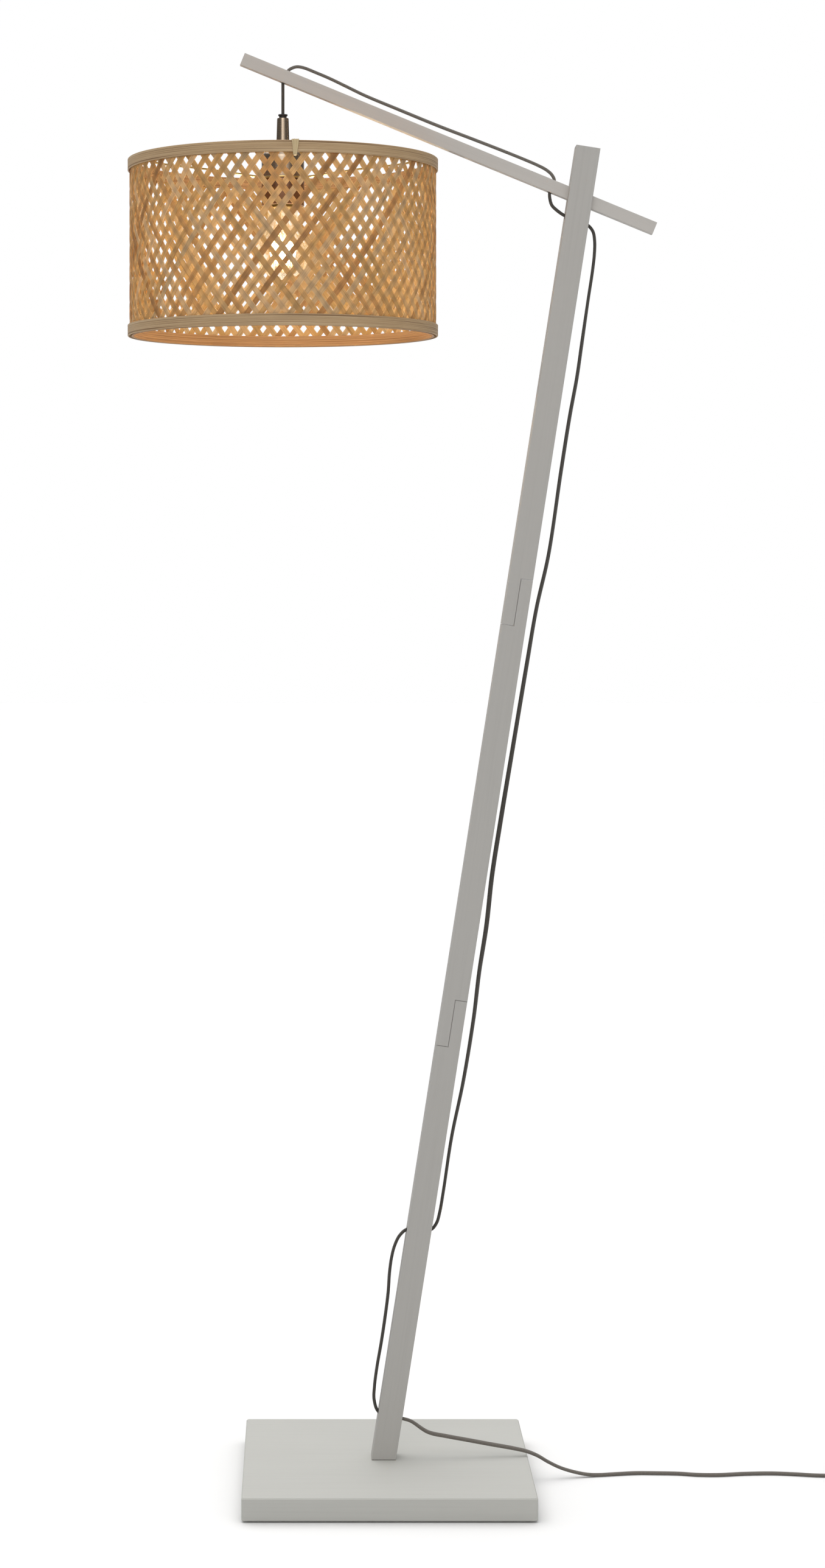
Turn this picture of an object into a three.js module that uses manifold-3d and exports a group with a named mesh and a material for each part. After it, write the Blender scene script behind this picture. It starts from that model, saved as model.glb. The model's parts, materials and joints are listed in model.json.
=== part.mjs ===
// A floor lamp of painted bamboo. A leaning pole in three lapped sections stands on a square
// base, a slanted arm passes through the pole, and a drum shade of woven split bamboo hangs
// from the arm on the lamp's own flat textile cord, which is threaded through arm and pole.
// Millimetres, +Z up, the front of the lamp towards -Y. Until the last step the middle of the
// pole's foot is at X 0 and Y 0; then the whole is centred on the footprint of the lamp.

import * as THREE from 'three';
import { mergeVertices } from 'three/addons/utils/BufferGeometryUtils.js';
import Module from 'manifold-3d';

const wasm = await Module();
wasm.setup();

const DEGREE = Math.PI / 180;
const TURN = 2 * Math.PI;

// Clearances
const SEAT_GAP = 0.3;
const CUT_OVERRUN = 3;

// Base plate and its pads
const BASE_WIDTH = 313;
const BASE_DEPTH = 313;
const BASE_THICKNESS = 24.5;
const BASE_CORNER_RADIUS = 3;
const BASE_EDGE_EASE = 1.2;
const FOOT_LEFT_OF_MIDDLE = 2.8;
const PAD_DIAMETER = 22;
const PAD_THICKNESS = 1.5;
const PAD_INSET = 24;

// Steel plate and screws that pull the pole down on the base
const FOOT_PLATE_WIDTH = 24;
const FOOT_PLATE_DEPTH = 38;
const FOOT_PLATE_THICKNESS = 2.5;
const FOOT_PLATE_CORNER_RADIUS = 3;
const FOOT_PLATE_CLEARANCE = 1;
const FOOT_RECESS_DEPTH = 9;
const FOOT_SCREW_SPACING = 13;
const FOOT_SCREW_REACH = 22;

// Pole
const POLE_LEAN_DEGREES = 8.87;
const POLE_WIDTH = 26.5;
const POLE_DEPTH = 26.5;
const LOWER_LENGTH = 511;
const MIDDLE_LENGTH = 520;
const UPPER_LENGTH = 532.5;
const LAP_LENGTH = 52;
const EDGE_EASE = 0.5;
const LAP_SCREW_SHARES = [0.25, 0.75];

// Machine screws and the threaded inserts that they turn into
const FRAME_SCREW = { shaft: 6, head: 10.4, headHeight: 3.3, socket: 4 };
const LAP_SCREW = { shaft: 5, head: 9, headHeight: 2.8, socket: 3 };
const ARM_SCREW = { shaft: 4, head: 7, headHeight: 2.2, socket: 2.5 };
const SCREW_CLEARANCE = 0.35;
const SOCKET_SHARE = 0.6;
const INSERT_WALL = 1.3;
const INSERT_LENGTH = 9;
const LAP_HEAD_RECESS = 3.6;
const ARM_HEAD_RECESS = 2.8;
const ARM_SCREW_REACH = 6;

// Arm
const ARM_SLOPE_DEGREES = 22.34;
const ARM_LENGTH = 490.8;
const ARM_REACH = 401.9;
const ARM_HEIGHT = 14;
const ARM_DEPTH = 12;
const ARM_BELOW_POLE_TOP = 56;
const MORTISE_CLEARANCE = 0.4;

// Holes that the cord is threaded through
const ARM_HOLE_DIAMETER = 7.4;
const PENDANT_HOLE_INSET = 51;
const FEED_HOLE_FROM_POLE = 33;
const POLE_HOLE_DIAMETER = 8.4;
const HIGH_HOLE_BELOW_ARM = 24.9;
const LOW_HOLE_HEIGHT = 253.4;
const FOOT_HOLE_HEIGHT = 46.7;
const FOOT_HOLE_SLOPE_DEGREES = 16.7;

// Flat two-core cord
const CORD_WIDTH = 5.2;
const CORD_THICKNESS = 3.5;
const CORD_FLAT_SHARE = 0.5;
const CORD_END_GAP = 0.3;
const DROP_LENGTH = 34.8;
const DROP_INTO_GRIP = 3.4;
const DROP_TOP_GAP = 1.8;

// Cord grip and neck cone
const GRIP_BRIM_DIAMETER = 10.4;
const GRIP_NECK_DIAMETER = 8.4;
const GRIP_MOUTH_DIAMETER = 9.2;
const GRIP_BORE_DIAMETER = 6.4;
const GRIP_HEIGHT = 3.8;
const GRIP_BRIM_HEIGHT = 1.6;
const GRIP_STEM_LENGTH = 6;
const CONE_TOP_DIAMETER = 12.5;
const CONE_BASE_DIAMETER = 15;
const CONE_LENGTH = 35;
const CONE_WALL = 1.3;
const NIPPLE_DIAMETER = 9.6;
const NIPPLE_BORE = 7;
const NIPPLE_IN_CONE = 18;
const NIPPLE_IN_HOLDER = 6;

// Lampholder
const CUP_DIAMETER = 47;
const CUP_HEIGHT = 30;
const CUP_SHOULDER_HEIGHT = 6;
const CUP_WALL = 1.2;
const SKIRT_HEIGHT = 28.6;
const SKIRT_LIP_DIAMETER = 38;
const HOLDER_DIAMETER = 41.4;
const HOLDER_SHORT_OF_LIP = 3;
const THREAD_SHELL_WALL = 0.6;
const THREAD_CLEARANCE = 0.35;
const CONTACT_DIAMETER = 9;
const CONTACT_THICKNESS = 1;

// Clear bulb
const BULB_DIAMETER = 60;
const BULB_LENGTH = 105;
const BULB_BELOW_SKIRT = 81.2;
const BULB_NECK_DIAMETER = 33;
const BULB_THROAT_DIAMETER = 22;
const BULB_GLASS_WALL = 0.8;
const BELLY_ARC_DEGREES = 120;
const BELLY_STEPS = 6;
const BULB_CAP_DIAMETER = 26.4;
const BULB_CAP_LENGTH = 26;
const BULB_CAP_WALL = 0.7;
const BULB_CONTACT_DIAMETER = 8;
const BULB_CONTACT_HEIGHT = 2.5;
const STEM_DIAMETER = 4;
const STEM_LENGTH = 40;
const FILAMENT_WIRE = 1.2;
const FILAMENT_RING_DIAMETER = 20;
const FILAMENT_HEIGHT = 30;
const FILAMENT_BENDS = 8;

// Shade
const SHADE_DIAMETER = 342;
const SHADE_HEIGHT = 194.3;
const SHADE_ABOVE_RING = 19.2;
const HOOP_HEIGHT = 12.4;
const OUTER_HOOP_THICKNESS = 1.5;
const INNER_HOOP_THICKNESS = 2.4;
const WEAVE_THICKNESS = 1.6;
const WEAVE_GAP = 0.45;
const WEAVE_STRIPS = 28;
const WEAVE_ROWS = 7;
const WEAVE_EDGE_BAND = 8.4;
const WEAVE_EDGE_INSET = 0.5;
const WEAVE_OPEN_SHARE = 0.5;
const SPIDER_RING_WIDTH = 4.2;
const SPIDER_RING_THICKNESS = 2;
const SPIDER_WIRE = 2.4;
const SPIDER_FOOT_HEIGHT = 7;
const SPIDER_FOOT_BELOW_HOOP = 1.2;
const SPIDER_ARM_ANGLES_DEGREES = [90, 210, 330];
const LASHING_ANGLE_DEGREES = -85.2;
const LASHING_WIDTH = 5;
const LASHING_THICKNESS = 1.2;
const LASHING_GAP = 0.4;

// Foot switch on the lead
const SWITCH_LENGTH = 78;
const SWITCH_WIDTH = 38;
const SWITCH_HEIGHT = 20;
const SWITCH_CORNER_RADIUS = 13;
const SWITCH_EDGE_EASE = 3;
const SWITCH_WALL = 1.8;
const SWITCH_FLOOR_THICKNESS = 2.5;
const SWITCH_CORD_HEIGHT = 5;
const BUTTON_DIAMETER = 22;
const BUTTON_PROUD = 3.6;
const BUTTON_FLANGE = 2;
const BUTTON_FLANGE_THICKNESS = 1.6;
const BUTTON_CLEARANCE = 0.4;
const BUTTON_TRAVEL = 2.5;

// Coil of the lead's spare length, with its tie
const COIL_TURNS_PER_LAYER = 3.25;
const COIL_INNER_RADIUS = 21;
const COIL_REVERSAL_ROOM = 2.3;
const COIL_TURN_GAP = 0.6;
const COIL_STEPS_PER_TURN = 16;
const COIL_LEAD_IN = 30;
const TIE_WIDTH = 7;
const TIE_THICKNESS = 0.8;
const TIE_GAP = 0.9;
const TIE_FLOOR_GAP = 0.5;

// Flat mains plug
const PLUG_LENGTH = 36;
const PLUG_WIDTH = 35.3;
const PLUG_THICKNESS = 13.7;
const PLUG_TAIL_WIDTH = 12;
const PLUG_EDGE_EASE = 2;
const PLUG_NECK_SHARE = 0.25;
const PLUG_SHOULDER_SHARE = 0.7;
const PLUG_LEAD = 24;
const PIN_DIAMETER = 4;
const PIN_LENGTH = 19;
const PIN_SPACING = 18.6;
const PIN_SLEEVE_LENGTH = 10;
const PIN_TIP_DIAMETER = 3.8;

// Numbers of facets
const ROUND_SIDES = 32;
const MIDDLE_SIDES = 20;
const SMALL_SIDES = 12;
const WIRE_ARC_STEPS = 3;
const CORNER_ARC_STEPS = 2;
const CORD_SIDES_IN_COIL = 6;

// Materials
const paint = (name, color, roughness, metalness = 0) =>
  new THREE.MeshStandardMaterial({ name, color, roughness, metalness });
const paintedBamboo = () => paint('painted bamboo', 0xb9b3aa, 0.55);
const bambooHoop = () => paint('bamboo hoop', 0xb39a78, 0.6);
const bambooWeave = () => paint('woven bamboo', 0xb88a56, 0.65);
const nickel = () => paint('brushed nickel', 0x8d867c, 0.35, 1);
const steel = () => paint('zinc-plated steel', 0xb8b8b4, 0.4, 1);
const brass = () => paint('brass', 0xc2a15a, 0.35, 1);
const blackPlastic = () => paint('black plastic', 0x1c1b1a, 0.5);
const greyPlastic = () => paint('grey plastic', 0x5c5a57, 0.5);
const textile = () => paint('grey textile', 0x5a5551, 0.9);
const felt = () => paint('felt', 0x77736c, 0.95);
const glass = () => paint('clear glass', 0xf4f1ea, 0.05);
const filamentGlow = () => paint('filament', 0xffc36b, 0.4);

// Mesh tools

// Merges a geometry's shared points, drops collapsed faces and turns its faces outwards.
function closed(geometry) {
  geometry.deleteAttribute('normal');
  geometry.deleteAttribute('uv');
  const merged = mergeVertices(geometry, 1e-4);
  const faces = [];
  const index = merged.index.array;
  for (let i = 0; i < index.length; i += 3) {
    const [a, b, c] = [index[i], index[i + 1], index[i + 2]];
    if (a !== b && b !== c && c !== a) faces.push([a, b, c]);
  }
  if (volumeOf(merged, faces) < 0) faces.forEach((face) => face.reverse());
  merged.setIndex(faces.flat());
  return merged;
}

function volumeOf(geometry, faces) {
  const point = (i) => new THREE.Vector3().fromBufferAttribute(geometry.attributes.position, i);
  let volume = 0;
  for (const [a, b, c] of faces) volume += point(a).dot(point(b).cross(point(c))) / 6;
  return volume;
}

function toSolid(geometry) {
  const clean = closed(geometry);
  return new wasm.Manifold(new wasm.Mesh({
    numProp: 3,
    vertProperties: new Float32Array(clean.attributes.position.array),
    triVerts: new Uint32Array(clean.index.array),
  }));
}

function fromSolid(solid) {
  const mesh = solid.getMesh();
  const geometry = new THREE.BufferGeometry();
  geometry.setAttribute('position', new THREE.BufferAttribute(new Float32Array(mesh.vertProperties), 3));
  geometry.setIndex(Array.from(mesh.triVerts));
  return geometry;
}

function cut(geometry, ...tools) {
  const solid = tools.reduce((rest, tool) => rest.subtract(toSolid(tool)), toSolid(geometry));
  return fromSolid(solid);
}

function join(geometry, ...others) {
  const solid = others.reduce((whole, other) => whole.add(toSolid(other)), toSolid(geometry));
  return fromSolid(solid);
}

// Shape tools

// A solid of revolution about Z from a closed outline of [radius, height] pairs.
function turned(outline, sides = ROUND_SIDES, start = 0) {
  const points = outline.map(([radius, height]) => new THREE.Vector2(radius, height));
  const onAxis = outline[0][0] === 0 && outline[outline.length - 1][0] === 0;
  if (!onAxis) points.push(points[0].clone());
  return new THREE.LatheGeometry(points, sides, start).rotateX(Math.PI / 2);
}

function tubeRing(outerRadius, innerRadius, bottom, top, sides = ROUND_SIDES, start = 0) {
  const outline = [[innerRadius, bottom], [outerRadius, bottom], [outerRadius, top], [innerRadius, top]];
  return turned(outline, sides, start);
}

// A round rod along Z from bottom to top.
function rod(diameter, bottom, top, sides = SMALL_SIDES) {
  const length = top - bottom;
  const cylinder = new THREE.CylinderGeometry(diameter / 2, diameter / 2, length, sides);
  return cylinder.rotateX(Math.PI / 2).translate(0, 0, bottom + length / 2);
}

function block(width, depth, height) {
  return new THREE.BoxGeometry(width, depth, height);
}

function outlineShape(points) {
  return new THREE.Shape(points.map(([x, y]) => new THREE.Vector2(x, y)));
}

function roundedRectangle(width, height, radius) {
  const [x, y] = [width / 2, height / 2];
  const shape = new THREE.Shape();
  shape.moveTo(-x + radius, -y);
  shape.absarc(x - radius, -y + radius, radius, -Math.PI / 2, 0);
  shape.absarc(x - radius, y - radius, radius, 0, Math.PI / 2);
  shape.absarc(-x + radius, y - radius, radius, Math.PI / 2, Math.PI);
  shape.absarc(-x + radius, -y + radius, radius, Math.PI, 1.5 * Math.PI);
  return shape;
}

// A slab that stands in the XZ plane, centred on Y, with its front and back edges eased.
function standingSlab(points, depth, ease) {
  const slab = new THREE.ExtrudeGeometry(outlineShape(points), {
    depth: depth - 2 * ease,
    bevelEnabled: ease > 0,
    bevelThickness: ease,
    bevelSize: ease,
    bevelOffset: -ease,
    bevelSegments: 1,
  });
  return slab.translate(0, 0, ease - depth / 2).rotateX(Math.PI / 2);
}

// A slab that lies on the level called bottom, with its upper and lower edges eased.
function lyingSlab(shape, bottom, height, ease) {
  const slab = new THREE.ExtrudeGeometry(shape, {
    depth: height - 2 * ease,
    bevelEnabled: ease > 0,
    bevelThickness: ease,
    bevelSize: ease,
    bevelOffset: -ease,
    bevelSegments: 1,
    curveSegments: CORNER_ARC_STEPS,
  });
  return slab.translate(0, 0, bottom + ease);
}

// The same with its lower edge left square.
function squareFootedSlab(shape, bottom, height, ease) {
  const slab = lyingSlab(shape, bottom - 2 * ease, height + 2 * ease, ease);
  slab.computeBoundingBox();
  const size = slab.boundingBox.getSize(new THREE.Vector3());
  const waste = block(2 * size.x, 2 * size.y, 2 * size.z).translate(0, 0, bottom - size.z);
  return cut(slab, waste);
}

// A cap screw along Z: its head's top is at the origin and its shaft points down.
function capScrew({ shaft, head, headHeight, socket }, reach) {
  const outline = [[0, -reach], [shaft / 2, -reach], [shaft / 2, -headHeight],
    [head / 2, -headHeight], [head / 2, 0], [0, 0]];
  const depth = headHeight * SOCKET_SHARE;
  const key = new THREE.CylinderGeometry(socket / 2, socket / 2, depth + CUT_OVERRUN, 6);
  key.rotateX(Math.PI / 2).translate(0, 0, CUT_OVERRUN / 2 - depth / 2);
  return cut(turned(outline, SMALL_SIDES), key);
}

const insertBore = (screw) => screw.shaft + 2 * SCREW_CLEARANCE;
const insertDiameter = (screw) => insertBore(screw) + 2 * INSERT_WALL;
const insertHole = (screw) => insertDiameter(screw) + 2 * SEAT_GAP;
const headHole = (screw) => screw.head + 2 * SCREW_CLEARANCE;

// A threaded insert along Z, its mouth at the origin and its body below.
function threadedInsert(screw) {
  return tubeRing(insertDiameter(screw) / 2, insertBore(screw) / 2, -INSERT_LENGTH, 0, SMALL_SIDES);
}

// Turns a piece made along Z so that its +Z points along +X.
const alongX = (geometry) => geometry.rotateY(Math.PI / 2);

// A smooth route with one ring of the cord's tube at each of its points.
class CordRoute extends THREE.CatmullRomCurve3 {
  constructor(points) {
    super(points.map(([x, y, z]) => new THREE.Vector3(x, y, z)), false, 'centripetal');
  }

  getUtoTmapping(u) {
    return u;
  }
}

// The flat cord's section: its width along the first axis.
function cordSection(sides) {
  const [wide, thin] = [CORD_WIDTH / 2, CORD_THICKNESS / 2];
  const flat = wide * CORD_FLAT_SHARE;
  if (sides === CORD_SIDES_IN_COIL) {
    return outlineShape([[wide, 0], [flat, thin], [-flat, thin], [-wide, 0], [-flat, -thin], [flat, -thin]]);
  }
  const side = thin * CORD_FLAT_SHARE;
  return outlineShape([[wide, -side], [wide, side], [flat, thin], [-flat, thin],
    [-wide, side], [-wide, -side], [-flat, -thin], [flat, -thin]]);
}

function cordTube(points, sides) {
  return new THREE.ExtrudeGeometry(cordSection(sides), {
    steps: points.length - 1,
    extrudePath: new CordRoute(points),
  });
}

// Groups
const lamp = new THREE.Group();
const cordPieces = new Set();

function add(group, name, geometry, material, placing = {}) {
  const { position = [0, 0, 0], rotation = [0, 0, 0], onCord = false } = placing;
  const mesh = new THREE.Mesh(closed(geometry), material);
  mesh.name = name;
  mesh.position.set(...position);
  mesh.rotation.set(...rotation);
  group.add(mesh);
  if (onCord) cordPieces.add(mesh);
  return mesh;
}

function subGroup(parent, position, rotation = [0, 0, 0]) {
  const group = new THREE.Group();
  group.position.set(...position);
  group.rotation.set(...rotation);
  parent.add(group);
  return group;
}

// Base: the plate, its pads, and the plate and screws that hold the pole from below
const baseTop = PAD_THICKNESS + BASE_THICKNESS;
const baseMiddleX = FOOT_LEFT_OF_MIDDLE;
const poleLean = POLE_LEAN_DEGREES * DEGREE;
const screwShiftX = (FOOT_SCREW_REACH / 2) * Math.tan(poleLean);
const footScrewPlaces = [-FOOT_SCREW_SPACING / 2, FOOT_SCREW_SPACING / 2];
const footSides = ['front', 'back'];
const recessTop = PAD_THICKNESS + FOOT_RECESS_DEPTH;
const footPlateTop = recessTop - SEAT_GAP;
const footHeadTop = footPlateTop - FOOT_PLATE_THICKNESS - SEAT_GAP;
const footSeat = baseTop + SEAT_GAP;

function buildBase() {
  const outline = roundedRectangle(BASE_WIDTH, BASE_DEPTH, BASE_CORNER_RADIUS);
  const plate = lyingSlab(outline, PAD_THICKNESS, BASE_THICKNESS, BASE_EDGE_EASE);
  plate.translate(baseMiddleX, 0, 0);
  const [recessWidth, recessDepth] = [FOOT_PLATE_WIDTH, FOOT_PLATE_DEPTH].map((side) =>
    side + 2 * FOOT_PLATE_CLEARANCE);
  const recess = block(recessWidth, recessDepth, FOOT_RECESS_DEPTH + CUT_OVERRUN);
  recess.translate(screwShiftX, 0, recessTop - (FOOT_RECESS_DEPTH + CUT_OVERRUN) / 2);
  const holes = footScrewPlaces.map((y) => rod(insertBore(FRAME_SCREW), recessTop - CUT_OVERRUN,
    baseTop + CUT_OVERRUN).translate(screwShiftX, y, 0));
  add(lamp, 'base_plate', cut(plate, recess, ...holes), paintedBamboo());

  for (const [sideX, left] of [[-1, 'left'], [1, 'right']]) {
    for (const [sideY, front] of [[-1, 'front'], [1, 'back']]) {
      const x = baseMiddleX + sideX * (BASE_WIDTH / 2 - PAD_INSET);
      const y = sideY * (BASE_DEPTH / 2 - PAD_INSET);
      const pad = rod(PAD_DIAMETER, 0, PAD_THICKNESS - SEAT_GAP, MIDDLE_SIDES);
      add(lamp, `pad_${front}_${left}`, pad, felt(), { position: [x, y, 0] });
    }
  }

  const washer = roundedRectangle(FOOT_PLATE_WIDTH, FOOT_PLATE_DEPTH, FOOT_PLATE_CORNER_RADIUS);
  const strip = new THREE.ExtrudeGeometry(washer, {
    depth: FOOT_PLATE_THICKNESS, bevelEnabled: false, curveSegments: CORNER_ARC_STEPS,
  }).translate(0, 0, footPlateTop - FOOT_PLATE_THICKNESS);
  const stripHoles = footScrewPlaces.map((y) => rod(insertBore(FRAME_SCREW),
    footPlateTop - FOOT_PLATE_THICKNESS - CUT_OVERRUN, footPlateTop + CUT_OVERRUN).translate(0, y, 0));
  add(lamp, 'foot_plate', cut(strip, ...stripHoles), steel(), { position: [screwShiftX, 0, 0] });

  const length = footSeat + FOOT_SCREW_REACH - (footHeadTop - FRAME_SCREW.headHeight);
  footScrewPlaces.forEach((y, i) => {
    add(lamp, `foot_screw_${footSides[i]}`, capScrew(FRAME_SCREW, length), steel(),
      { position: [screwShiftX, y, footHeadTop - FRAME_SCREW.headHeight], rotation: [Math.PI, 0, 0] });
    add(lamp, `foot_insert_${footSides[i]}`, threadedInsert(FRAME_SCREW), brass(),
      { position: [screwShiftX, y, footSeat + SEAT_GAP + INSERT_LENGTH] });
  });
}

// Pole: local X across its front face, Z along it, the middle of its foot at the origin
const pole = subGroup(lamp, [0, 0, footSeat], [0, poleLean, 0]);
const halfWidth = POLE_WIDTH / 2;
const poleLength = LOWER_LENGTH + MIDDLE_LENGTH + UPPER_LENGTH - 2 * LAP_LENGTH;
const crossing = poleLength - ARM_BELOW_POLE_TOP;
const armTurn = ARM_SLOPE_DEGREES * DEGREE - poleLean;
const footHoleTurn = FOOT_HOLE_SLOPE_DEGREES * DEGREE - poleLean;
const highHole = { height: crossing - HIGH_HOLE_BELOW_ARM, turn: armTurn };
const lowHole = { height: LOW_HOLE_HEIGHT, turn: -poleLean };
const footHole = { height: FOOT_HOLE_HEIGHT, turn: footHoleTurn };
const laps = [LOWER_LENGTH - LAP_LENGTH, LOWER_LENGTH + MIDDLE_LENGTH - 2 * LAP_LENGTH];

// A section's outline. At a lap below it its left half reaches down, and at a lap above it its right
// half rises.
function sectionOutline(bottom, top, lapBelow, lapAbove) {
  const slant = lapBelow ? 0 : halfWidth * Math.tan(poleLean);
  const points = [[-halfWidth, bottom - slant]];
  if (lapBelow) {
    points.push([-SEAT_GAP / 2, bottom], [-SEAT_GAP / 2, bottom + LAP_LENGTH]);
    points.push([halfWidth, bottom + LAP_LENGTH]);
  } else {
    points.push([halfWidth, bottom + slant]);
  }
  if (lapAbove) {
    points.push([halfWidth, top - SEAT_GAP], [SEAT_GAP / 2, top - SEAT_GAP]);
    points.push([SEAT_GAP / 2, top - LAP_LENGTH - SEAT_GAP], [-halfWidth, top - LAP_LENGTH - SEAT_GAP]);
  } else {
    points.push([halfWidth, top], [-halfWidth, top]);
  }
  return points;
}

// A hole through the pole from side to side, turned so that it falls to the right.
function poleCordHole({ height, turn }) {
  const reach = POLE_WIDTH + 2 * CUT_OVERRUN;
  return alongX(rod(POLE_HOLE_DIAMETER, -reach / 2, reach / 2)).rotateY(turn).translate(0, 0, height);
}

function lapScrewHeights(lap) {
  return LAP_SCREW_SHARES.map((share) => lap + share * LAP_LENGTH);
}

// Through the right half: the head's recess and the shaft's clearance hole.
function lapClearanceCuts(lap) {
  return lapScrewHeights(lap).flatMap((height) => [
    alongX(rod(insertBore(LAP_SCREW), -CUT_OVERRUN, halfWidth + CUT_OVERRUN)).translate(0, 0, height),
    alongX(rod(headHole(LAP_SCREW), halfWidth - LAP_HEAD_RECESS, halfWidth + CUT_OVERRUN))
      .translate(0, 0, height),
  ]);
}

// Into the left half: the blind hole that its insert is pressed in.
function lapInsertCuts(lap) {
  return lapScrewHeights(lap).map((height) =>
    alongX(rod(insertHole(LAP_SCREW), -INSERT_LENGTH - 3 * SEAT_GAP, CUT_OVERRUN)).translate(0, 0, height));
}

function mortise() {
  const clearance = 2 * MORTISE_CLEARANCE;
  const tunnel = block(3 * POLE_WIDTH, ARM_DEPTH + clearance, ARM_HEIGHT + clearance);
  return tunnel.rotateY(armTurn).translate(0, 0, crossing);
}

function armScrewCuts() {
  const back = POLE_DEPTH / 2;
  const shaft = rod(insertBore(ARM_SCREW), 0, back + CUT_OVERRUN).rotateX(-Math.PI / 2);
  const head = rod(headHole(ARM_SCREW), back - ARM_HEAD_RECESS, back + CUT_OVERRUN).rotateX(-Math.PI / 2);
  return [shaft.translate(0, 0, crossing), head.translate(0, 0, crossing)];
}

function footInsertCuts() {
  return footScrewPlaces.map((y) => {
    const pocket = rod(insertHole(FRAME_SCREW), -CUT_OVERRUN, INSERT_LENGTH + 2 * SEAT_GAP);
    const shaft = rod(insertBore(FRAME_SCREW), 0, FOOT_SCREW_REACH + CUT_OVERRUN);
    return join(pocket, shaft).translate(screwShiftX, y, 0).rotateY(-poleLean);
  });
}

function buildPole() {
  const section = (name, bottom, top, lapBelow, lapAbove, cuts) => {
    const outline = sectionOutline(bottom, top, lapBelow, lapAbove);
    add(pole, name, cut(standingSlab(outline, POLE_DEPTH, EDGE_EASE), ...cuts), paintedBamboo());
  };
  section('pole_lower', 0, LOWER_LENGTH, false, true, [
    ...lapClearanceCuts(laps[0]), ...footInsertCuts(), poleCordHole(lowHole), poleCordHole(footHole),
  ]);
  section('pole_middle', laps[0], laps[1] + LAP_LENGTH, true, true,
    [...lapInsertCuts(laps[0]), ...lapClearanceCuts(laps[1])]);
  section('pole_upper', laps[1], poleLength, true, false, [
    ...lapInsertCuts(laps[1]), mortise(), ...armScrewCuts(), poleCordHole(highHole),
  ]);

  const headSeat = halfWidth - LAP_HEAD_RECESS + LAP_SCREW.headHeight + SEAT_GAP;
  const reach = headSeat + INSERT_LENGTH;
  laps.forEach((lap, i) => {
    const joint = ['lower', 'upper'][i];
    lapScrewHeights(lap).forEach((height, j) => {
      const place = ['bottom', 'top'][j];
      add(pole, `lap_screw_${joint}_${place}`, capScrew(LAP_SCREW, reach), steel(),
        { position: [headSeat, 0, height], rotation: [0, Math.PI / 2, 0] });
      add(pole, `lap_insert_${joint}_${place}`, threadedInsert(LAP_SCREW), brass(),
        { position: [-2 * SEAT_GAP, 0, height], rotation: [0, Math.PI / 2, 0] });
    });
  });

  const armHeadTop = POLE_DEPTH / 2 - ARM_HEAD_RECESS + ARM_SCREW.headHeight + SEAT_GAP;
  const armScrewLength = armHeadTop - ARM_DEPTH / 2 + ARM_SCREW_REACH;
  add(pole, 'arm_screw', capScrew(ARM_SCREW, armScrewLength), steel(),
    { position: [0, armHeadTop, crossing], rotation: [-Math.PI / 2, 0, 0] });
}

// Arm: local X along it towards its low end, the pole's crossing at the origin
const arm = subGroup(pole, [0, 0, crossing], [0, armTurn, 0]);
const pendantHoleX = PENDANT_HOLE_INSET - ARM_REACH;
const feedHoleX = -FEED_HOLE_FROM_POLE;

function buildArm() {
  const [left, right, top] = [-ARM_REACH, ARM_LENGTH - ARM_REACH, ARM_HEIGHT / 2];
  const bar = standingSlab([[left, -top], [right, -top], [right, top], [left, top]], ARM_DEPTH, EDGE_EASE);
  const holes = [pendantHoleX, feedHoleX].map((x) =>
    rod(ARM_HOLE_DIAMETER, -top - CUT_OVERRUN, top + CUT_OVERRUN).translate(x, 0, 0));
  const back = ARM_DEPTH / 2;
  const pilot = rod(insertBore(ARM_SCREW), back - ARM_SCREW_REACH - SEAT_GAP, back + CUT_OVERRUN);
  pilot.rotateX(-Math.PI / 2);
  add(arm, 'arm', cut(bar, ...holes, pilot), paintedBamboo());
}

// Pendant: the origin is where the cord leaves the arm, and everything hangs below it
lamp.updateMatrixWorld(true);
const pivot = arm.localToWorld(new THREE.Vector3(pendantHoleX, 0, -ARM_HEIGHT / 2));
const pendant = subGroup(lamp, [pivot.x, 0, pivot.z]);
const gripTop = -DROP_LENGTH;
const coneTop = gripTop - GRIP_HEIGHT - SEAT_GAP;
const coneBottom = coneTop - CONE_LENGTH;
const cupTop = coneBottom - SEAT_GAP;
const cupBottom = cupTop - CUP_HEIGHT;
const ringTop = cupBottom - SEAT_GAP;
const ringBottom = ringTop - SPIDER_RING_THICKNESS;
const skirtTop = ringBottom - SEAT_GAP;
const skirtBottom = skirtTop - SKIRT_HEIGHT;
const holderTop = cupTop - CUP_SHOULDER_HEIGHT - CUP_WALL - SEAT_GAP;
const holderBottom = skirtBottom + HOLDER_SHORT_OF_LIP;
const bulbBottom = skirtBottom - BULB_BELOW_SKIRT;
const bulbTop = bulbBottom + BULB_LENGTH;
const contactTop = bulbTop + SEAT_GAP + CONTACT_THICKNESS;
const socketCeiling = contactTop + SEAT_GAP;
const capBottom = bulbTop - BULB_CAP_LENGTH;
const bulbThroatTop = capBottom + BULB_CAP_LENGTH / 4;

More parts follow.
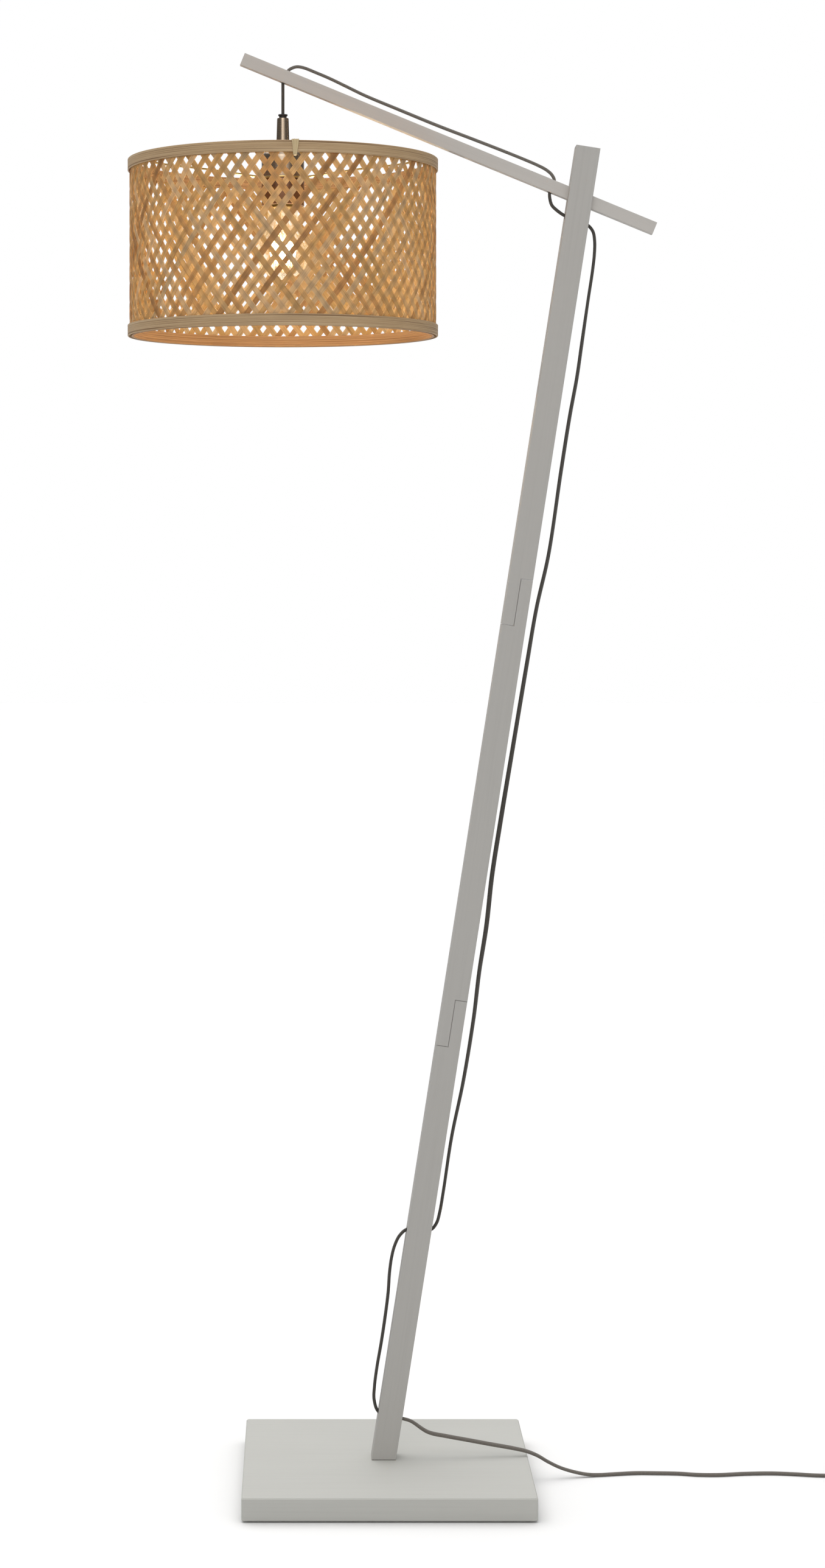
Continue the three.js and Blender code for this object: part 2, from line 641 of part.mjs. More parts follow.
function buildFitting() {
  const dropBottom = gripTop - DROP_INTO_GRIP;
  const steps = [0, 0.25, 0.5, 0.75, 1].map((share) => [0, 0, share * dropBottom]);
  const drop = new THREE.ExtrudeGeometry(cordSection(8), {
    steps: steps.length - 1, extrudePath: new CordRoute(steps),
  });
  add(pendant, 'cord_drop', drop, textile());

  const [mouth, bore] = [GRIP_MOUTH_DIAMETER / 2, GRIP_BORE_DIAMETER / 2];
  const [brim, neck] = [GRIP_BRIM_DIAMETER / 2, GRIP_NECK_DIAMETER / 2];
  add(pendant, 'cord_grip', turned([
    [bore, coneTop - GRIP_STEM_LENGTH], [neck, coneTop - GRIP_STEM_LENGTH],
    [neck, gripTop - GRIP_BRIM_HEIGHT], [brim, gripTop - GRIP_BRIM_HEIGHT], [brim, gripTop - SEAT_GAP],
    [brim - SEAT_GAP, gripTop], [mouth, gripTop], [bore, gripTop - GRIP_HEIGHT],
  ], MIDDLE_SIDES), blackPlastic());

  const [top, base] = [CONE_TOP_DIAMETER / 2, CONE_BASE_DIAMETER / 2];
  const stemHole = neck + SEAT_GAP;
  const stemFloor = coneTop - GRIP_STEM_LENGTH - SEAT_GAP;
  add(pendant, 'neck_cone', turned([
    [base - CONE_WALL, coneBottom], [base, coneBottom], [top, coneTop], [stemHole, coneTop],
    [stemHole, stemFloor], [NIPPLE_DIAMETER / 2 + SEAT_GAP, stemFloor - SEAT_GAP],
  ], MIDDLE_SIDES), nickel());

  add(pendant, 'threaded_nipple', tubeRing(NIPPLE_DIAMETER / 2, NIPPLE_BORE / 2,
    holderTop - NIPPLE_IN_HOLDER, coneBottom + NIPPLE_IN_CONE, SMALL_SIDES), steel());

  const cup = CUP_DIAMETER / 2;
  const nippleHole = NIPPLE_DIAMETER / 2 + SEAT_GAP;
  add(pendant, 'lampholder_cup', turned([
    [cup - CUP_WALL, cupBottom], [cup, cupBottom], [cup, cupTop - CUP_SHOULDER_HEIGHT],
    [cup - CUP_WALL, cupTop - 0.75 * CUP_SHOULDER_HEIGHT], [base, cupTop], [nippleHole, cupTop],
    [nippleHole, cupTop - CUP_WALL], [base, cupTop - CUP_WALL],
    [cup - CUP_WALL, cupTop - CUP_SHOULDER_HEIGHT - CUP_WALL],
  ]), nickel());

  const lip = SKIRT_LIP_DIAMETER / 2;
  add(pendant, 'lampholder_skirt', turned([
    [lip, skirtBottom], [cup, skirtBottom], [cup, skirtTop], [cup - CUP_WALL, skirtTop],
    [cup - CUP_WALL, skirtBottom + CUP_WALL], [lip, skirtBottom + CUP_WALL],
  ]), nickel());

  const shellInner = BULB_CAP_DIAMETER / 2 + THREAD_CLEARANCE;
  const shellOuter = shellInner + THREAD_SHELL_WALL;
  const wellRadius = shellOuter + SEAT_GAP;
  add(pendant, 'lampholder_core', turned([
    [wellRadius, holderBottom], [HOLDER_DIAMETER / 2, holderBottom], [HOLDER_DIAMETER / 2, holderTop],
    [nippleHole, holderTop], [nippleHole, holderTop - NIPPLE_IN_HOLDER - SEAT_GAP],
    [NIPPLE_BORE / 2, holderTop - NIPPLE_IN_HOLDER - SEAT_GAP], [NIPPLE_BORE / 2, socketCeiling],
    [wellRadius, socketCeiling],
  ], MIDDLE_SIDES), blackPlastic());
  add(pendant, 'thread_shell', tubeRing(shellOuter, shellInner, holderBottom + SEAT_GAP,
    socketCeiling - SEAT_GAP, MIDDLE_SIDES), brass());
  add(pendant, 'centre_contact', rod(CONTACT_DIAMETER, contactTop - CONTACT_THICKNESS, contactTop), brass());
}

// The bulb's outline below its neck: a round belly that runs up into the neck along a curve.
function bulbProfile(shrink) {
  const belly = BULB_DIAMETER / 2 - shrink;
  const centre = bulbBottom + BULB_DIAMETER / 2;
  const neck = BULB_NECK_DIAMETER / 2 - shrink;
  const throat = BULB_THROAT_DIAMETER / 2 - shrink;
  const points = [];
  for (let i = 0; i <= BELLY_STEPS; i += 1) {
    const angle = (-90 + (i / BELLY_STEPS) * BELLY_ARC_DEGREES) * DEGREE;
    points.push([i === 0 ? 0 : belly * Math.cos(angle), centre + belly * Math.sin(angle)]);
  }
  const from = points[points.length - 1];
  const shoulder = [neck, capBottom - 3 * SEAT_GAP - shrink];
  for (const share of [1 / 3, 2 / 3]) {
    const ease = share * (2 - share);
    points.push([from[0] + (shoulder[0] - from[0]) * ease, from[1] + (shoulder[1] - from[1]) * share]);
  }
  points.push(shoulder, [throat, capBottom - SEAT_GAP - shrink], [throat, bulbThroatTop]);
  return points;
}

function buildBulb() {
  const outer = bulbProfile(0);
  const inner = bulbProfile(BULB_GLASS_WALL).reverse();
  add(pendant, 'bulb_glass', new THREE.LatheGeometry([...outer, ...inner].map(([r, z]) =>
    new THREE.Vector2(r, z)), MIDDLE_SIDES).rotateX(Math.PI / 2), glass());

  const cap = BULB_CAP_DIAMETER / 2;
  const tip = BULB_CONTACT_DIAMETER / 2;
  const shoulder = bulbTop - BULB_CONTACT_HEIGHT;
  add(pendant, 'bulb_cap', turned([
    [0, bulbTop], [tip, bulbTop], [tip, shoulder], [cap, shoulder - BULB_CONTACT_HEIGHT],
    [cap, capBottom], [cap - BULB_CAP_WALL, capBottom],
    [cap - BULB_CAP_WALL, shoulder - BULB_CONTACT_HEIGHT - BULB_CAP_WALL],
    [0, shoulder - BULB_CONTACT_HEIGHT],
  ], MIDDLE_SIDES), brass());

  const stemBottom = bulbThroatTop - STEM_LENGTH;
  const flare = BULB_THROAT_DIAMETER / 2 - BULB_GLASS_WALL - SEAT_GAP;
  const stem = STEM_DIAMETER / 2;
  add(pendant, 'bulb_stem', turned([
    [0, bulbThroatTop], [flare, bulbThroatTop], [flare, bulbThroatTop - STEM_DIAMETER],
    [stem, bulbThroatTop - STEM_LENGTH / 3], [stem, stemBottom + STEM_DIAMETER],
    [STEM_DIAMETER, stemBottom + stem], [STEM_DIAMETER, stemBottom], [0, stemBottom],
  ], MIDDLE_SIDES), glass());

  const ring = FILAMENT_RING_DIAMETER / 2;
  const middle = bulbBottom + BULB_DIAMETER / 2;
  const zigzag = [];
  for (let i = 0; i < FILAMENT_BENDS; i += 1) {
    const angle = (i / FILAMENT_BENDS) * TURN;
    const rise = (i % 2 ? 1 : -1) * FILAMENT_HEIGHT / 2;
    zigzag.push([ring * Math.cos(angle), ring * Math.sin(angle), middle + rise]);
  }
  const wire = new THREE.ExtrudeGeometry(new THREE.Shape().absarc(0, 0, FILAMENT_WIRE / 2, 0, TURN), {
    steps: 3 * (zigzag.length - 1),
    curveSegments: WIRE_ARC_STEPS,
    extrudePath: new CordRoute([[STEM_DIAMETER + FILAMENT_WIRE, 0, stemBottom + stem / 2], ...zigzag]),
  });
  add(pendant, 'bulb_filament', wire, filamentGlow());
}

// Shade
const shadeTop = ringTop + SHADE_ABOVE_RING;
const shadeBottom = shadeTop - SHADE_HEIGHT;
const outerHoopRadius = SHADE_DIAMETER / 2;
const weaveOuterRadius = outerHoopRadius - OUTER_HOOP_THICKNESS - WEAVE_GAP;
const weaveInnerRadius = weaveOuterRadius - WEAVE_THICKNESS;
const innerHoopRadius = weaveInnerRadius - WEAVE_GAP;
const innerHoopInside = innerHoopRadius - INNER_HOOP_THICKNESS;
const halfPitchAngle = TURN / (2 * WEAVE_STRIPS);
const lashingAngle = LASHING_ANGLE_DEGREES * DEGREE;
const weavePhase = lashingAngle - (WEAVE_ROWS % 2) * halfPitchAngle;
const shade = subGroup(pendant, [0, 0, shadeBottom], [0, 0, weavePhase]);

// The weave unrolled flat. Across, the unit is half the pitch of the strips; upwards, millimetres.
// Every hole is a diamond, and the rows at the two edge bands are half diamonds. Returns triangles
// of [across, up] points, each wound the same way.
function weaveSheet(height) {
  const lowest = WEAVE_EDGE_BAND;
  const step = (height - 2 * WEAVE_EDGE_BAND) / WEAVE_ROWS;
  const [half, pitch] = [1, 2];
  const [a, b] = [half * WEAVE_OPEN_SHARE, step * WEAVE_OPEN_SHARE];
  const rowHeight = (row) => lowest + row * step;
  const triangles = [];
  const quad = (p, q, r, s) => triangles.push([p, q, r], [p, r, s]);
  for (let row = 0; row <= WEAVE_ROWS; row += 1) {
    const z = rowHeight(row);
    const above = rowHeight(row + 1);
    for (let c = row % 2; c < pitch * WEAVE_STRIPS; c += pitch) {
      const [left, right] = [[c + a, z], [c + pitch - a, z]];
      if (row < WEAVE_ROWS) {
        triangles.push([left, right, [c + half, above - b]]);
        quad([c + a, z], [c + half, above - b], [c + half - a, above], [c, z + b]);
        quad([c - a, z], [c, z + b], [c - half + a, above], [c - half, above - b]);
      }
      if (row > 0) triangles.push([right, left, [c + half, z - step + b]]);
    }
  }
  const band = (from, to, bottom, top) => quad([from, bottom], [to, bottom], [to, top], [from, top]);
  for (let c = 0; c < pitch * WEAVE_STRIPS; c += pitch) {
    const high = c + (WEAVE_ROWS % 2);
    band(c - a, c + a, 0, lowest);
    band(c + a, c + pitch - a, 0, lowest);
    band(high - a, high + a, height - lowest, height);
    band(high + a, high + pitch - a, height - lowest, height);
  }
  return triangles;
}

// Rolls a sheet up between two radii and closes every open edge between its two faces.
function rolledSheet(triangles, outerRadius, innerRadius) {
  const positions = [];
  const place = ([across, up], radius) => {
    const angle = across * halfPitchAngle;
    return [radius * Math.cos(angle), radius * Math.sin(angle), up];
  };
  const face = (...corners) => corners.forEach((corner) => positions.push(...corner));
  const key = ([across, up]) => {
    const round = 2 * WEAVE_STRIPS;
    return `${(((across % round) + round) % round).toFixed(4)} ${up.toFixed(4)}`;
  };
  const edges = new Map();
  for (const [p, q, r] of triangles) {
    face(place(p, outerRadius), place(q, outerRadius), place(r, outerRadius));
    face(place(p, innerRadius), place(r, innerRadius), place(q, innerRadius));
    for (const [from, to] of [[p, q], [q, r], [r, p]]) edges.set(`${key(from)} > ${key(to)}`, [from, to]);
  }
  for (const [from, to] of edges.values()) {
    if (edges.has(`${key(to)} > ${key(from)}`)) continue;
    const [fromOut, toOut] = [place(from, outerRadius), place(to, outerRadius)];
    const [fromIn, toIn] = [place(from, innerRadius), place(to, innerRadius)];
    face(toOut, fromOut, fromIn);
    face(toOut, fromIn, toIn);
  }
  const geometry = new THREE.BufferGeometry();
  geometry.setAttribute('position', new THREE.Float32BufferAttribute(positions, 3));
  return geometry;
}

function buildShade() {
  const sides = 2 * WEAVE_STRIPS;
  const start = Math.PI / 2 + halfPitchAngle * WEAVE_OPEN_SHARE;
  const hoop = (outer, inner, bottom) => tubeRing(outer, inner, bottom, bottom + HOOP_HEIGHT, sides, start);
  const outerInside = outerHoopRadius - OUTER_HOOP_THICKNESS;
  const upper = SHADE_HEIGHT - HOOP_HEIGHT;
  add(shade, 'upper_outer_hoop', hoop(outerHoopRadius, outerInside, upper), bambooHoop());
  add(shade, 'upper_inner_hoop', hoop(innerHoopRadius, innerHoopInside, upper), bambooHoop());
  add(shade, 'lower_outer_hoop', hoop(outerHoopRadius, outerInside, 0), bambooHoop());
  add(shade, 'lower_inner_hoop', hoop(innerHoopRadius, innerHoopInside, 0), bambooHoop());

  const sheet = weaveSheet(SHADE_HEIGHT - 2 * WEAVE_EDGE_INSET);
  add(shade, 'woven_wall', rolledSheet(sheet, weaveOuterRadius, weaveInnerRadius), bambooWeave(),
    { position: [0, 0, WEAVE_EDGE_INSET] });

  const ring = (inset) => [
    [innerHoopInside - LASHING_GAP - inset, upper - LASHING_GAP - inset],
    [outerHoopRadius + LASHING_GAP + inset, upper - LASHING_GAP - inset],
    [outerHoopRadius + LASHING_GAP + inset, SHADE_HEIGHT + LASHING_GAP + inset],
    [innerHoopInside - LASHING_GAP - inset, SHADE_HEIGHT + LASHING_GAP + inset],
  ];
  const loop = outlineShape(ring(LASHING_THICKNESS));
  loop.holes.push(outlineShape(ring(0)));
  const band = new THREE.ExtrudeGeometry(loop, { depth: LASHING_WIDTH, bevelEnabled: false });
  band.rotateX(Math.PI / 2).translate(0, LASHING_WIDTH / 2, 0);
  add(shade, 'rim_lashing', band, bambooHoop(), { rotation: [0, 0, lashingAngle - weavePhase] });
}

// The spider: a ring clamped between cup and skirt, and three wire arms up to the inner hoop.
function buildSpider() {
  const inner = HOLDER_DIAMETER / 2 + SEAT_GAP;
  const outer = inner + SPIDER_RING_WIDTH;
  const wireRadius = SPIDER_WIRE / 2;
  const armStart = CUP_DIAMETER / 2 + wireRadius;
  const middle = (ringTop + ringBottom) / 2;
  const footRadius = innerHoopInside - 3 * SEAT_GAP - wireRadius;
  const footBottom = shadeTop - HOOP_HEIGHT + SPIDER_FOOT_BELOW_HOOP;
  const wireSection = new THREE.Shape().absarc(0, 0, wireRadius, 0, TURN);
  const wires = SPIDER_ARM_ANGLES_DEGREES.map((angle) => {
    const route = new CordRoute([
      [armStart, 0, middle], [(armStart + footRadius) / 2, 0, (middle + footBottom) / 2],
      [footRadius - 2 * wireRadius, 0, footBottom - wireRadius / 2],
      [footRadius, 0, footBottom + wireRadius], [footRadius, 0, footBottom + SPIDER_FOOT_HEIGHT],
    ]);
    const options = { steps: 6, curveSegments: WIRE_ARC_STEPS, extrudePath: route };
    return new THREE.ExtrudeGeometry(wireSection, options).rotateZ(angle * DEGREE);
  });
  const ring = tubeRing(outer, inner, ringBottom, ringTop);
  add(pendant, 'shade_spider', join(ring, ...wires), brass());
}

// The cord's route. Each stretch ends in the middle of a hole; inside the pole and the arm it follows
// the hole's axis. Arm stretches are in the arm's frame, pole stretches in the pole's.
const ARM_RUN = [
  [-348.2, 11.6], [-343.4, 15.4], [-336, 17.2], [-322, 17.4], [-305, 17.2], [-285, 16], [-262, 14.6],
  [-222, 14.4], [-176, 14.4], [-132, 15.4], [-102, 16], [-73, 16.2], [-57, 15.9], [-46, 14.8], [-38, 12],
];
const ARM_LOOP = [[-29.6, -14], [-25.6, -18.8], [-19.4, -21.6]];
const POLE_RUN = [
  [20, 1369.5], [23.4, 1360], [25.4, 1346], [26.3, 1326], [26.4, 1296], [27, 1244], [27.4, 1208],
  [26.2, 1165], [26, 1104], [26.6, 1010], [22.6, 950], [21.5, 885], [20.5, 797], [19.6, 710],
  [19.6, 650], [22, 596], [22, 544], [23.8, 492], [23.2, 422], [20, 360], [20.2, 300], [19.8, 276],
  [18.2, 263.5],
];
const FOOT_LOOP = [
  [-19.9, 243.6], [-23.6, 232], [-25, 217.7], [-24.6, 200.8], [-22.8, 180], [-22, 155], [-21.8, 125],
  [-22.3, 96], [-21.7, 75], [-19.8, 60.5],
];
const LEAD = [
  [49, 0.5, 53.4], [69.8, 1, 48.6], [90.4, 2, 44.6], [117.2, 3, 39.4], [143.9, 4, 34.4], [159, 5, 30.6],
  [170.6, 6, 25.6], [182, 7.4, 18.6], [196, 9.4, 11.4], [212, 11.6, 6], [227, 13.4, 2.8], [240, 15.4, 1.9],
  [258, 18.8, 1.9], [280, 22.6, 1.9], [305, 22.2, 1.9], [328, 20.6, 1.9], [348, 16, 1.9],
  [372, 15.4, 1.9], [401, 20, 1.9], [431, 21.6, 1.9], [456, 18.4, 1.9], [478, 14, 1.9], [495, 12.4, 2.4],
];
const SWITCH_INLET = [512, 12.4];

// A point on a pole hole's axis, that far to the right of the pole's middle.
function onPoleHole({ height, turn }, across) {
  return [across, 0, height - across * Math.tan(turn)];
}

const inPlane = (points) => points.map(([across, up]) => [across, 0, up]);

function poleFrameToArm([x, , z]) {
  const point = new THREE.Vector3(x, 0, z - crossing);
  point.applyAxisAngle(new THREE.Vector3(0, 1, 0), -armTurn);
  return point.toArray();
}

function poleFrameToLamp([x, , z]) {
  const point = new THREE.Vector3(x, 0, z).applyAxisAngle(new THREE.Vector3(0, 1, 0), poleLean);
  return [point.x, 0, point.z + footSeat];
}

const cordRoutes = {};

function buildThreadedCord() {
  const end = CORD_END_GAP / 2;
  const rim = ARM_HEIGHT / 2;
  const out = halfWidth;
  const onCord = { onCord: true };
  cordRoutes.cord_arm_run = [
    [pendantHoleX, 0, -rim + DROP_TOP_GAP], [pendantHoleX, 0, 0], [pendantHoleX, 0, rim],
    ...inPlane(ARM_RUN), [feedHoleX, 0, rim], [feedHoleX, 0, end],
  ];
  cordRoutes.cord_arm_loop = [
    [feedHoleX, 0, -end], [feedHoleX, 0, -rim], ...inPlane(ARM_LOOP),
    poleFrameToArm(onPoleHole(highHole, -out)),
    poleFrameToArm(onPoleHole(highHole, -end)),
  ];
  cordRoutes.cord_pole_run = [
    onPoleHole(highHole, end), onPoleHole(highHole, out),
    ...inPlane(POLE_RUN), onPoleHole(lowHole, out), onPoleHole(lowHole, end),
  ];
  cordRoutes.cord_foot_loop = [
    onPoleHole(lowHole, -end), onPoleHole(lowHole, -out), ...inPlane(FOOT_LOOP),
    onPoleHole(footHole, -out), onPoleHole(footHole, -end),
  ];
  add(arm, 'cord_arm_run', cordTube(cordRoutes.cord_arm_run, 8), textile(), onCord);
  add(arm, 'cord_arm_loop', cordTube(cordRoutes.cord_arm_loop, 8), textile(), onCord);
  add(pole, 'cord_pole_run', cordTube(cordRoutes.cord_pole_run, 8), textile(), onCord);
  add(pole, 'cord_foot_loop', cordTube(cordRoutes.cord_foot_loop, 8), textile(), onCord);
}

// The lead on the floor, its foot switch, the coil of its spare length and its plug
const [switchX, switchY] = [SWITCH_INLET[0] + SWITCH_LENGTH / 2, SWITCH_INLET[1]];
const layerPitch = CORD_WIDTH + COIL_TURN_GAP;
const turnPitch = CORD_THICKNESS + COIL_TURN_GAP;
const lowLayer = TIE_THICKNESS + TIE_FLOOR_GAP + CORD_WIDTH / 2;
const coilRadiusAt = (turnsFromReversal) => {
  const past = Math.max(0, turnsFromReversal - 0.25);
  const opened = THREE.MathUtils.smoothstep(past, 0, 0.5);
  return COIL_INNER_RADIUS + COIL_REVERSAL_ROOM * opened + turnPitch * past;
};
const coilOuterRadius = coilRadiusAt(COIL_TURNS_PER_LAYER);
const coilCentre = [switchX + SWITCH_LENGTH / 2 + COIL_LEAD_IN, switchY + coilOuterRadius];

// The coil spirals in on the floor, climbs a layer in the half turn where it reverses, and spirals out.
function coilPoint(turns) {
  const fromReversal = turns - COIL_TURNS_PER_LAYER;
  const radius = coilRadiusAt(Math.abs(fromReversal));
  const climb = THREE.MathUtils.smoothstep(fromReversal, -0.25, 0.25);
  const angle = turns * TURN - Math.PI / 2;
  return [coilCentre[0] + radius * Math.cos(angle), coilCentre[1] + radius * Math.sin(angle),
    lowLayer + climb * layerPitch];
}

function coilRoute() {
  const count = 2 * COIL_TURNS_PER_LAYER * COIL_STEPS_PER_TURN;
  const turns = Array.from({ length: count + 1 }, (_, i) => coilPoint(i / COIL_STEPS_PER_TURN));
  const first = turns[0];
  const last = turns[turns.length - 1];
  return [[first[0] - CORD_WIDTH, first[1], first[2]], ...turns, [last[0] - CORD_WIDTH, last[1], last[2]]];
}

// The least gap between two turns of the coil, measured on points: sideways or upwards, whichever
// keeps them apart.
function coilLeastGap() {
  const perTurn = 96;
  const count = 2 * COIL_TURNS_PER_LAYER * perTurn;
  const points = Array.from({ length: count + 1 }, (_, i) => coilPoint(i / perTurn));
  const radius = ([x, y]) => Math.hypot(x - coilCentre[0], y - coilCentre[1]);
  let least = Infinity;
  points.forEach((point, i) => {
    for (let j = i + perTurn; j < points.length; j += perTurn) {
      const sideways = Math.abs(radius(points[j]) - radius(point)) - CORD_THICKNESS;
      const upwards = Math.abs(points[j][2] - point[2]) - CORD_WIDTH;
      least = Math.min(least, Math.max(sideways, upwards));
    }
  });
  return least;
}

function buildSwitch() {
  const onCord = true;
  const outline = roundedRectangle(SWITCH_LENGTH, SWITCH_WIDTH, SWITCH_CORNER_RADIUS);
  const floor = new THREE.ExtrudeGeometry(outline, {
    depth: SWITCH_FLOOR_THICKNESS, bevelEnabled: false, curveSegments: CORNER_ARC_STEPS,
  });
  add(lamp, 'switch_floor', floor, greyPlastic(), { position: [switchX, switchY, 0], onCord });

  const coverBottom = SWITCH_FLOOR_THICKNESS + SEAT_GAP;
  const coverHeight = SWITCH_HEIGHT - coverBottom;
  const shell = squareFootedSlab(outline, coverBottom, coverHeight, SWITCH_EDGE_EASE);
  const inside = roundedRectangle(SWITCH_LENGTH - 2 * SWITCH_WALL, SWITCH_WIDTH - 2 * SWITCH_WALL,
    SWITCH_CORNER_RADIUS - SWITCH_WALL);
  const hollow = lyingSlab(inside, coverBottom - CUT_OVERRUN, coverHeight + CUT_OVERRUN - SWITCH_WALL,
    SWITCH_EDGE_EASE - SWITCH_WALL / 2);
  const holeDiameter = BUTTON_DIAMETER + 2 * BUTTON_CLEARANCE;
  const buttonHole = rod(holeDiameter, SWITCH_HEIGHT / 2, SWITCH_HEIGHT + CUT_OVERRUN, MIDDLE_SIDES);
  add(lamp, 'switch_cover', cut(shell, hollow, buttonHole), greyPlastic(),
    { position: [switchX, switchY, 0], onCord });

  const button = BUTTON_DIAMETER / 2;
  const flangeTop = SWITCH_HEIGHT - SWITCH_WALL - SEAT_GAP;
  const flangeBottom = flangeTop - BUTTON_FLANGE_THICKNESS;
  const crown = SWITCH_HEIGHT + BUTTON_PROUD;
  const skirt = SWITCH_FLOOR_THICKNESS + BUTTON_TRAVEL + SEAT_GAP;
  add(lamp, 'switch_button', turned([
    [0, skirt], [button / 2, skirt], [button / 2, flangeBottom], [button + BUTTON_FLANGE, flangeBottom],
    [button + BUTTON_FLANGE, flangeTop], [button, flangeTop], [button, crown - BUTTON_PROUD / 3],
    [button - BUTTON_PROUD / 3, crown - BUTTON_PROUD / 9], [button / 2, crown], [0, crown],
  ], MIDDLE_SIDES), blackPlastic(), { position: [switchX, switchY, 0], onCord });
}

function buildLead() {
  const onCord = { onCord: true };
  const holeEnd = poleFrameToLamp(onPoleHole(footHole, CORD_END_GAP / 2));
  const holeMouth = poleFrameToLamp(onPoleHole(footHole, halfWidth));
  const beyond = poleFrameToLamp(onPoleHole(footHole, halfWidth + 2 * CORD_WIDTH));
  cordRoutes.cord_lead = [
    holeEnd, holeMouth, beyond, ...LEAD,
    [SWITCH_INLET[0] - CORD_WIDTH - CORD_END_GAP, SWITCH_INLET[1], SWITCH_CORD_HEIGHT - CORD_END_GAP],
    [SWITCH_INLET[0] - CORD_END_GAP, SWITCH_INLET[1], SWITCH_CORD_HEIGHT],
  ];
  add(lamp, 'cord_lead', cordTube(cordRoutes.cord_lead, 8), textile(), onCord);

  const route = coilRoute();
  const coilStart = route[0];
  const coilEnd = route[route.length - 1];
  const outlet = switchX + SWITCH_LENGTH / 2 + CORD_END_GAP;
  const nearEnd = coilStart[0] - CORD_END_GAP;
  cordRoutes.cord_tail_in = [
    [outlet, switchY, SWITCH_CORD_HEIGHT], [outlet + CORD_WIDTH, switchY, SWITCH_CORD_HEIGHT],
    [(outlet + nearEnd) / 2, switchY, (SWITCH_CORD_HEIGHT + lowLayer) / 2],
    [nearEnd - CORD_WIDTH, switchY, lowLayer], [nearEnd, switchY, lowLayer],
  ];
  cordRoutes.cord_coil = route;
  const plugRear = coilEnd[0] - PLUG_LEAD;
  const [from, to] = [coilEnd[0] - CORD_END_GAP, plugRear + CORD_END_GAP];
  const plugHeight = PLUG_THICKNESS / 2;
  cordRoutes.cord_tail_out = [
    [from, coilEnd[1], coilEnd[2]], [from - CORD_WIDTH, coilEnd[1], coilEnd[2]],
    [(from + to) / 2, coilEnd[1], (coilEnd[2] + plugHeight) / 2],
    [to + CORD_WIDTH, coilEnd[1], plugHeight], [to, coilEnd[1], plugHeight],
  ];
  add(lamp, 'cord_tail_in', cordTube(cordRoutes.cord_tail_in, 8), textile(), onCord);
  add(lamp, 'cord_coil', cordTube(route, CORD_SIDES_IN_COIL), textile(), onCord);
  add(lamp, 'cord_tail_out', cordTube(cordRoutes.cord_tail_out, 8), textile(), onCord);
  buildTie();
  buildPlug([plugRear, coilEnd[1], 0]);
}

// A strap round the coil's turns on the side away from the lamp.
function buildTie() {
  const [low, high] = [COIL_INNER_RADIUS - CORD_THICKNESS / 2, coilOuterRadius + CORD_THICKNESS / 2];
  const bottom = lowLayer - CORD_WIDTH / 2;
  const top = bottom + layerPitch + CORD_WIDTH;
  const ring = (inset) => {
    const floorGap = TIE_FLOOR_GAP + inset;
    return [[low - TIE_GAP - inset, bottom - floorGap], [high + TIE_GAP + inset, bottom - floorGap],
      [high + TIE_GAP + inset, top + TIE_GAP + inset], [low - TIE_GAP - inset, top + TIE_GAP + inset]];
  };
  const loop = outlineShape(ring(TIE_THICKNESS));
  loop.holes.push(outlineShape(ring(0)));
  const strap = new THREE.ExtrudeGeometry(loop, { depth: TIE_WIDTH, bevelEnabled: false });
  strap.rotateX(Math.PI / 2).translate(0, TIE_WIDTH / 2, 0);
  add(lamp, 'coil_tie', strap, blackPlastic(), { position: [...coilCentre, 0], onCord: true });
}

// The plug lies flat with its pins pointing back at the lamp.
function buildPlug(rear) {
  const plug = subGroup(lamp, rear, [0, 0, Math.PI]);
  const [wide, narrow] = [PLUG_WIDTH / 2, PLUG_TAIL_WIDTH / 2];
  const [neck, shoulder] = [PLUG_LENGTH * PLUG_NECK_SHARE, PLUG_LENGTH * PLUG_SHOULDER_SHARE];
  const outline = outlineShape([[0, -narrow], [neck, -narrow], [shoulder, -wide], [PLUG_LENGTH, -wide],
    [PLUG_LENGTH, wide], [shoulder, wide], [neck, narrow], [0, narrow]]);
  const onCord = { onCord: true };
  add(plug, 'plug_body', lyingSlab(outline, 0, PLUG_THICKNESS, PLUG_EDGE_EASE), greyPlastic(), onCord);
  const pin = () => alongX(turned([
    [0, 0], [PIN_DIAMETER / 2, 0], [PIN_DIAMETER / 2, PIN_SLEEVE_LENGTH],
    [PIN_TIP_DIAMETER / 2, PIN_SLEEVE_LENGTH], [PIN_TIP_DIAMETER / 2, PIN_LENGTH - PIN_DIAMETER / 4],
    [PIN_DIAMETER / 4, PIN_LENGTH], [0, PIN_LENGTH],
  ], SMALL_SIDES));
  for (const [side, name] of [[-1, 'plug_pin_back'], [1, 'plug_pin_front']]) {
    const position = [PLUG_LENGTH + SEAT_GAP, (side * PIN_SPACING) / 2, PLUG_THICKNESS / 2];
    add(plug, name, pin(), nickel(), { position, onCord: true });
  }
}

buildBase();
buildPole();
buildArm();
buildFitting();
buildBulb();
buildShade();
buildSpider();
buildThreadedCord();
buildSwitch();
buildLead();

// Centre the lamp, without its cord, on the origin.
function centreOnFootprint() {
  lamp.updateMatrixWorld(true);
  const box = new THREE.Box3();
  lamp.traverse((part) => {
    if (part.isMesh && !cordPieces.has(part)) box.expandByObject(part, true);
  });
  const middle = box.getCenter(new THREE.Vector3());
  lamp.position.set(-middle.x, -middle.y, -box.min.z);
  lamp.updateMatrixWorld(true);
  return box.getSize(new THREE.Vector3());
}

function lengthOf(points) {
  let length = 0;
  for (let i = 1; i < points.length; i += 1) {
    length += new THREE.Vector3(...points[i]).distanceTo(new THREE.Vector3(...points[i - 1]));
  }
  return length;
}

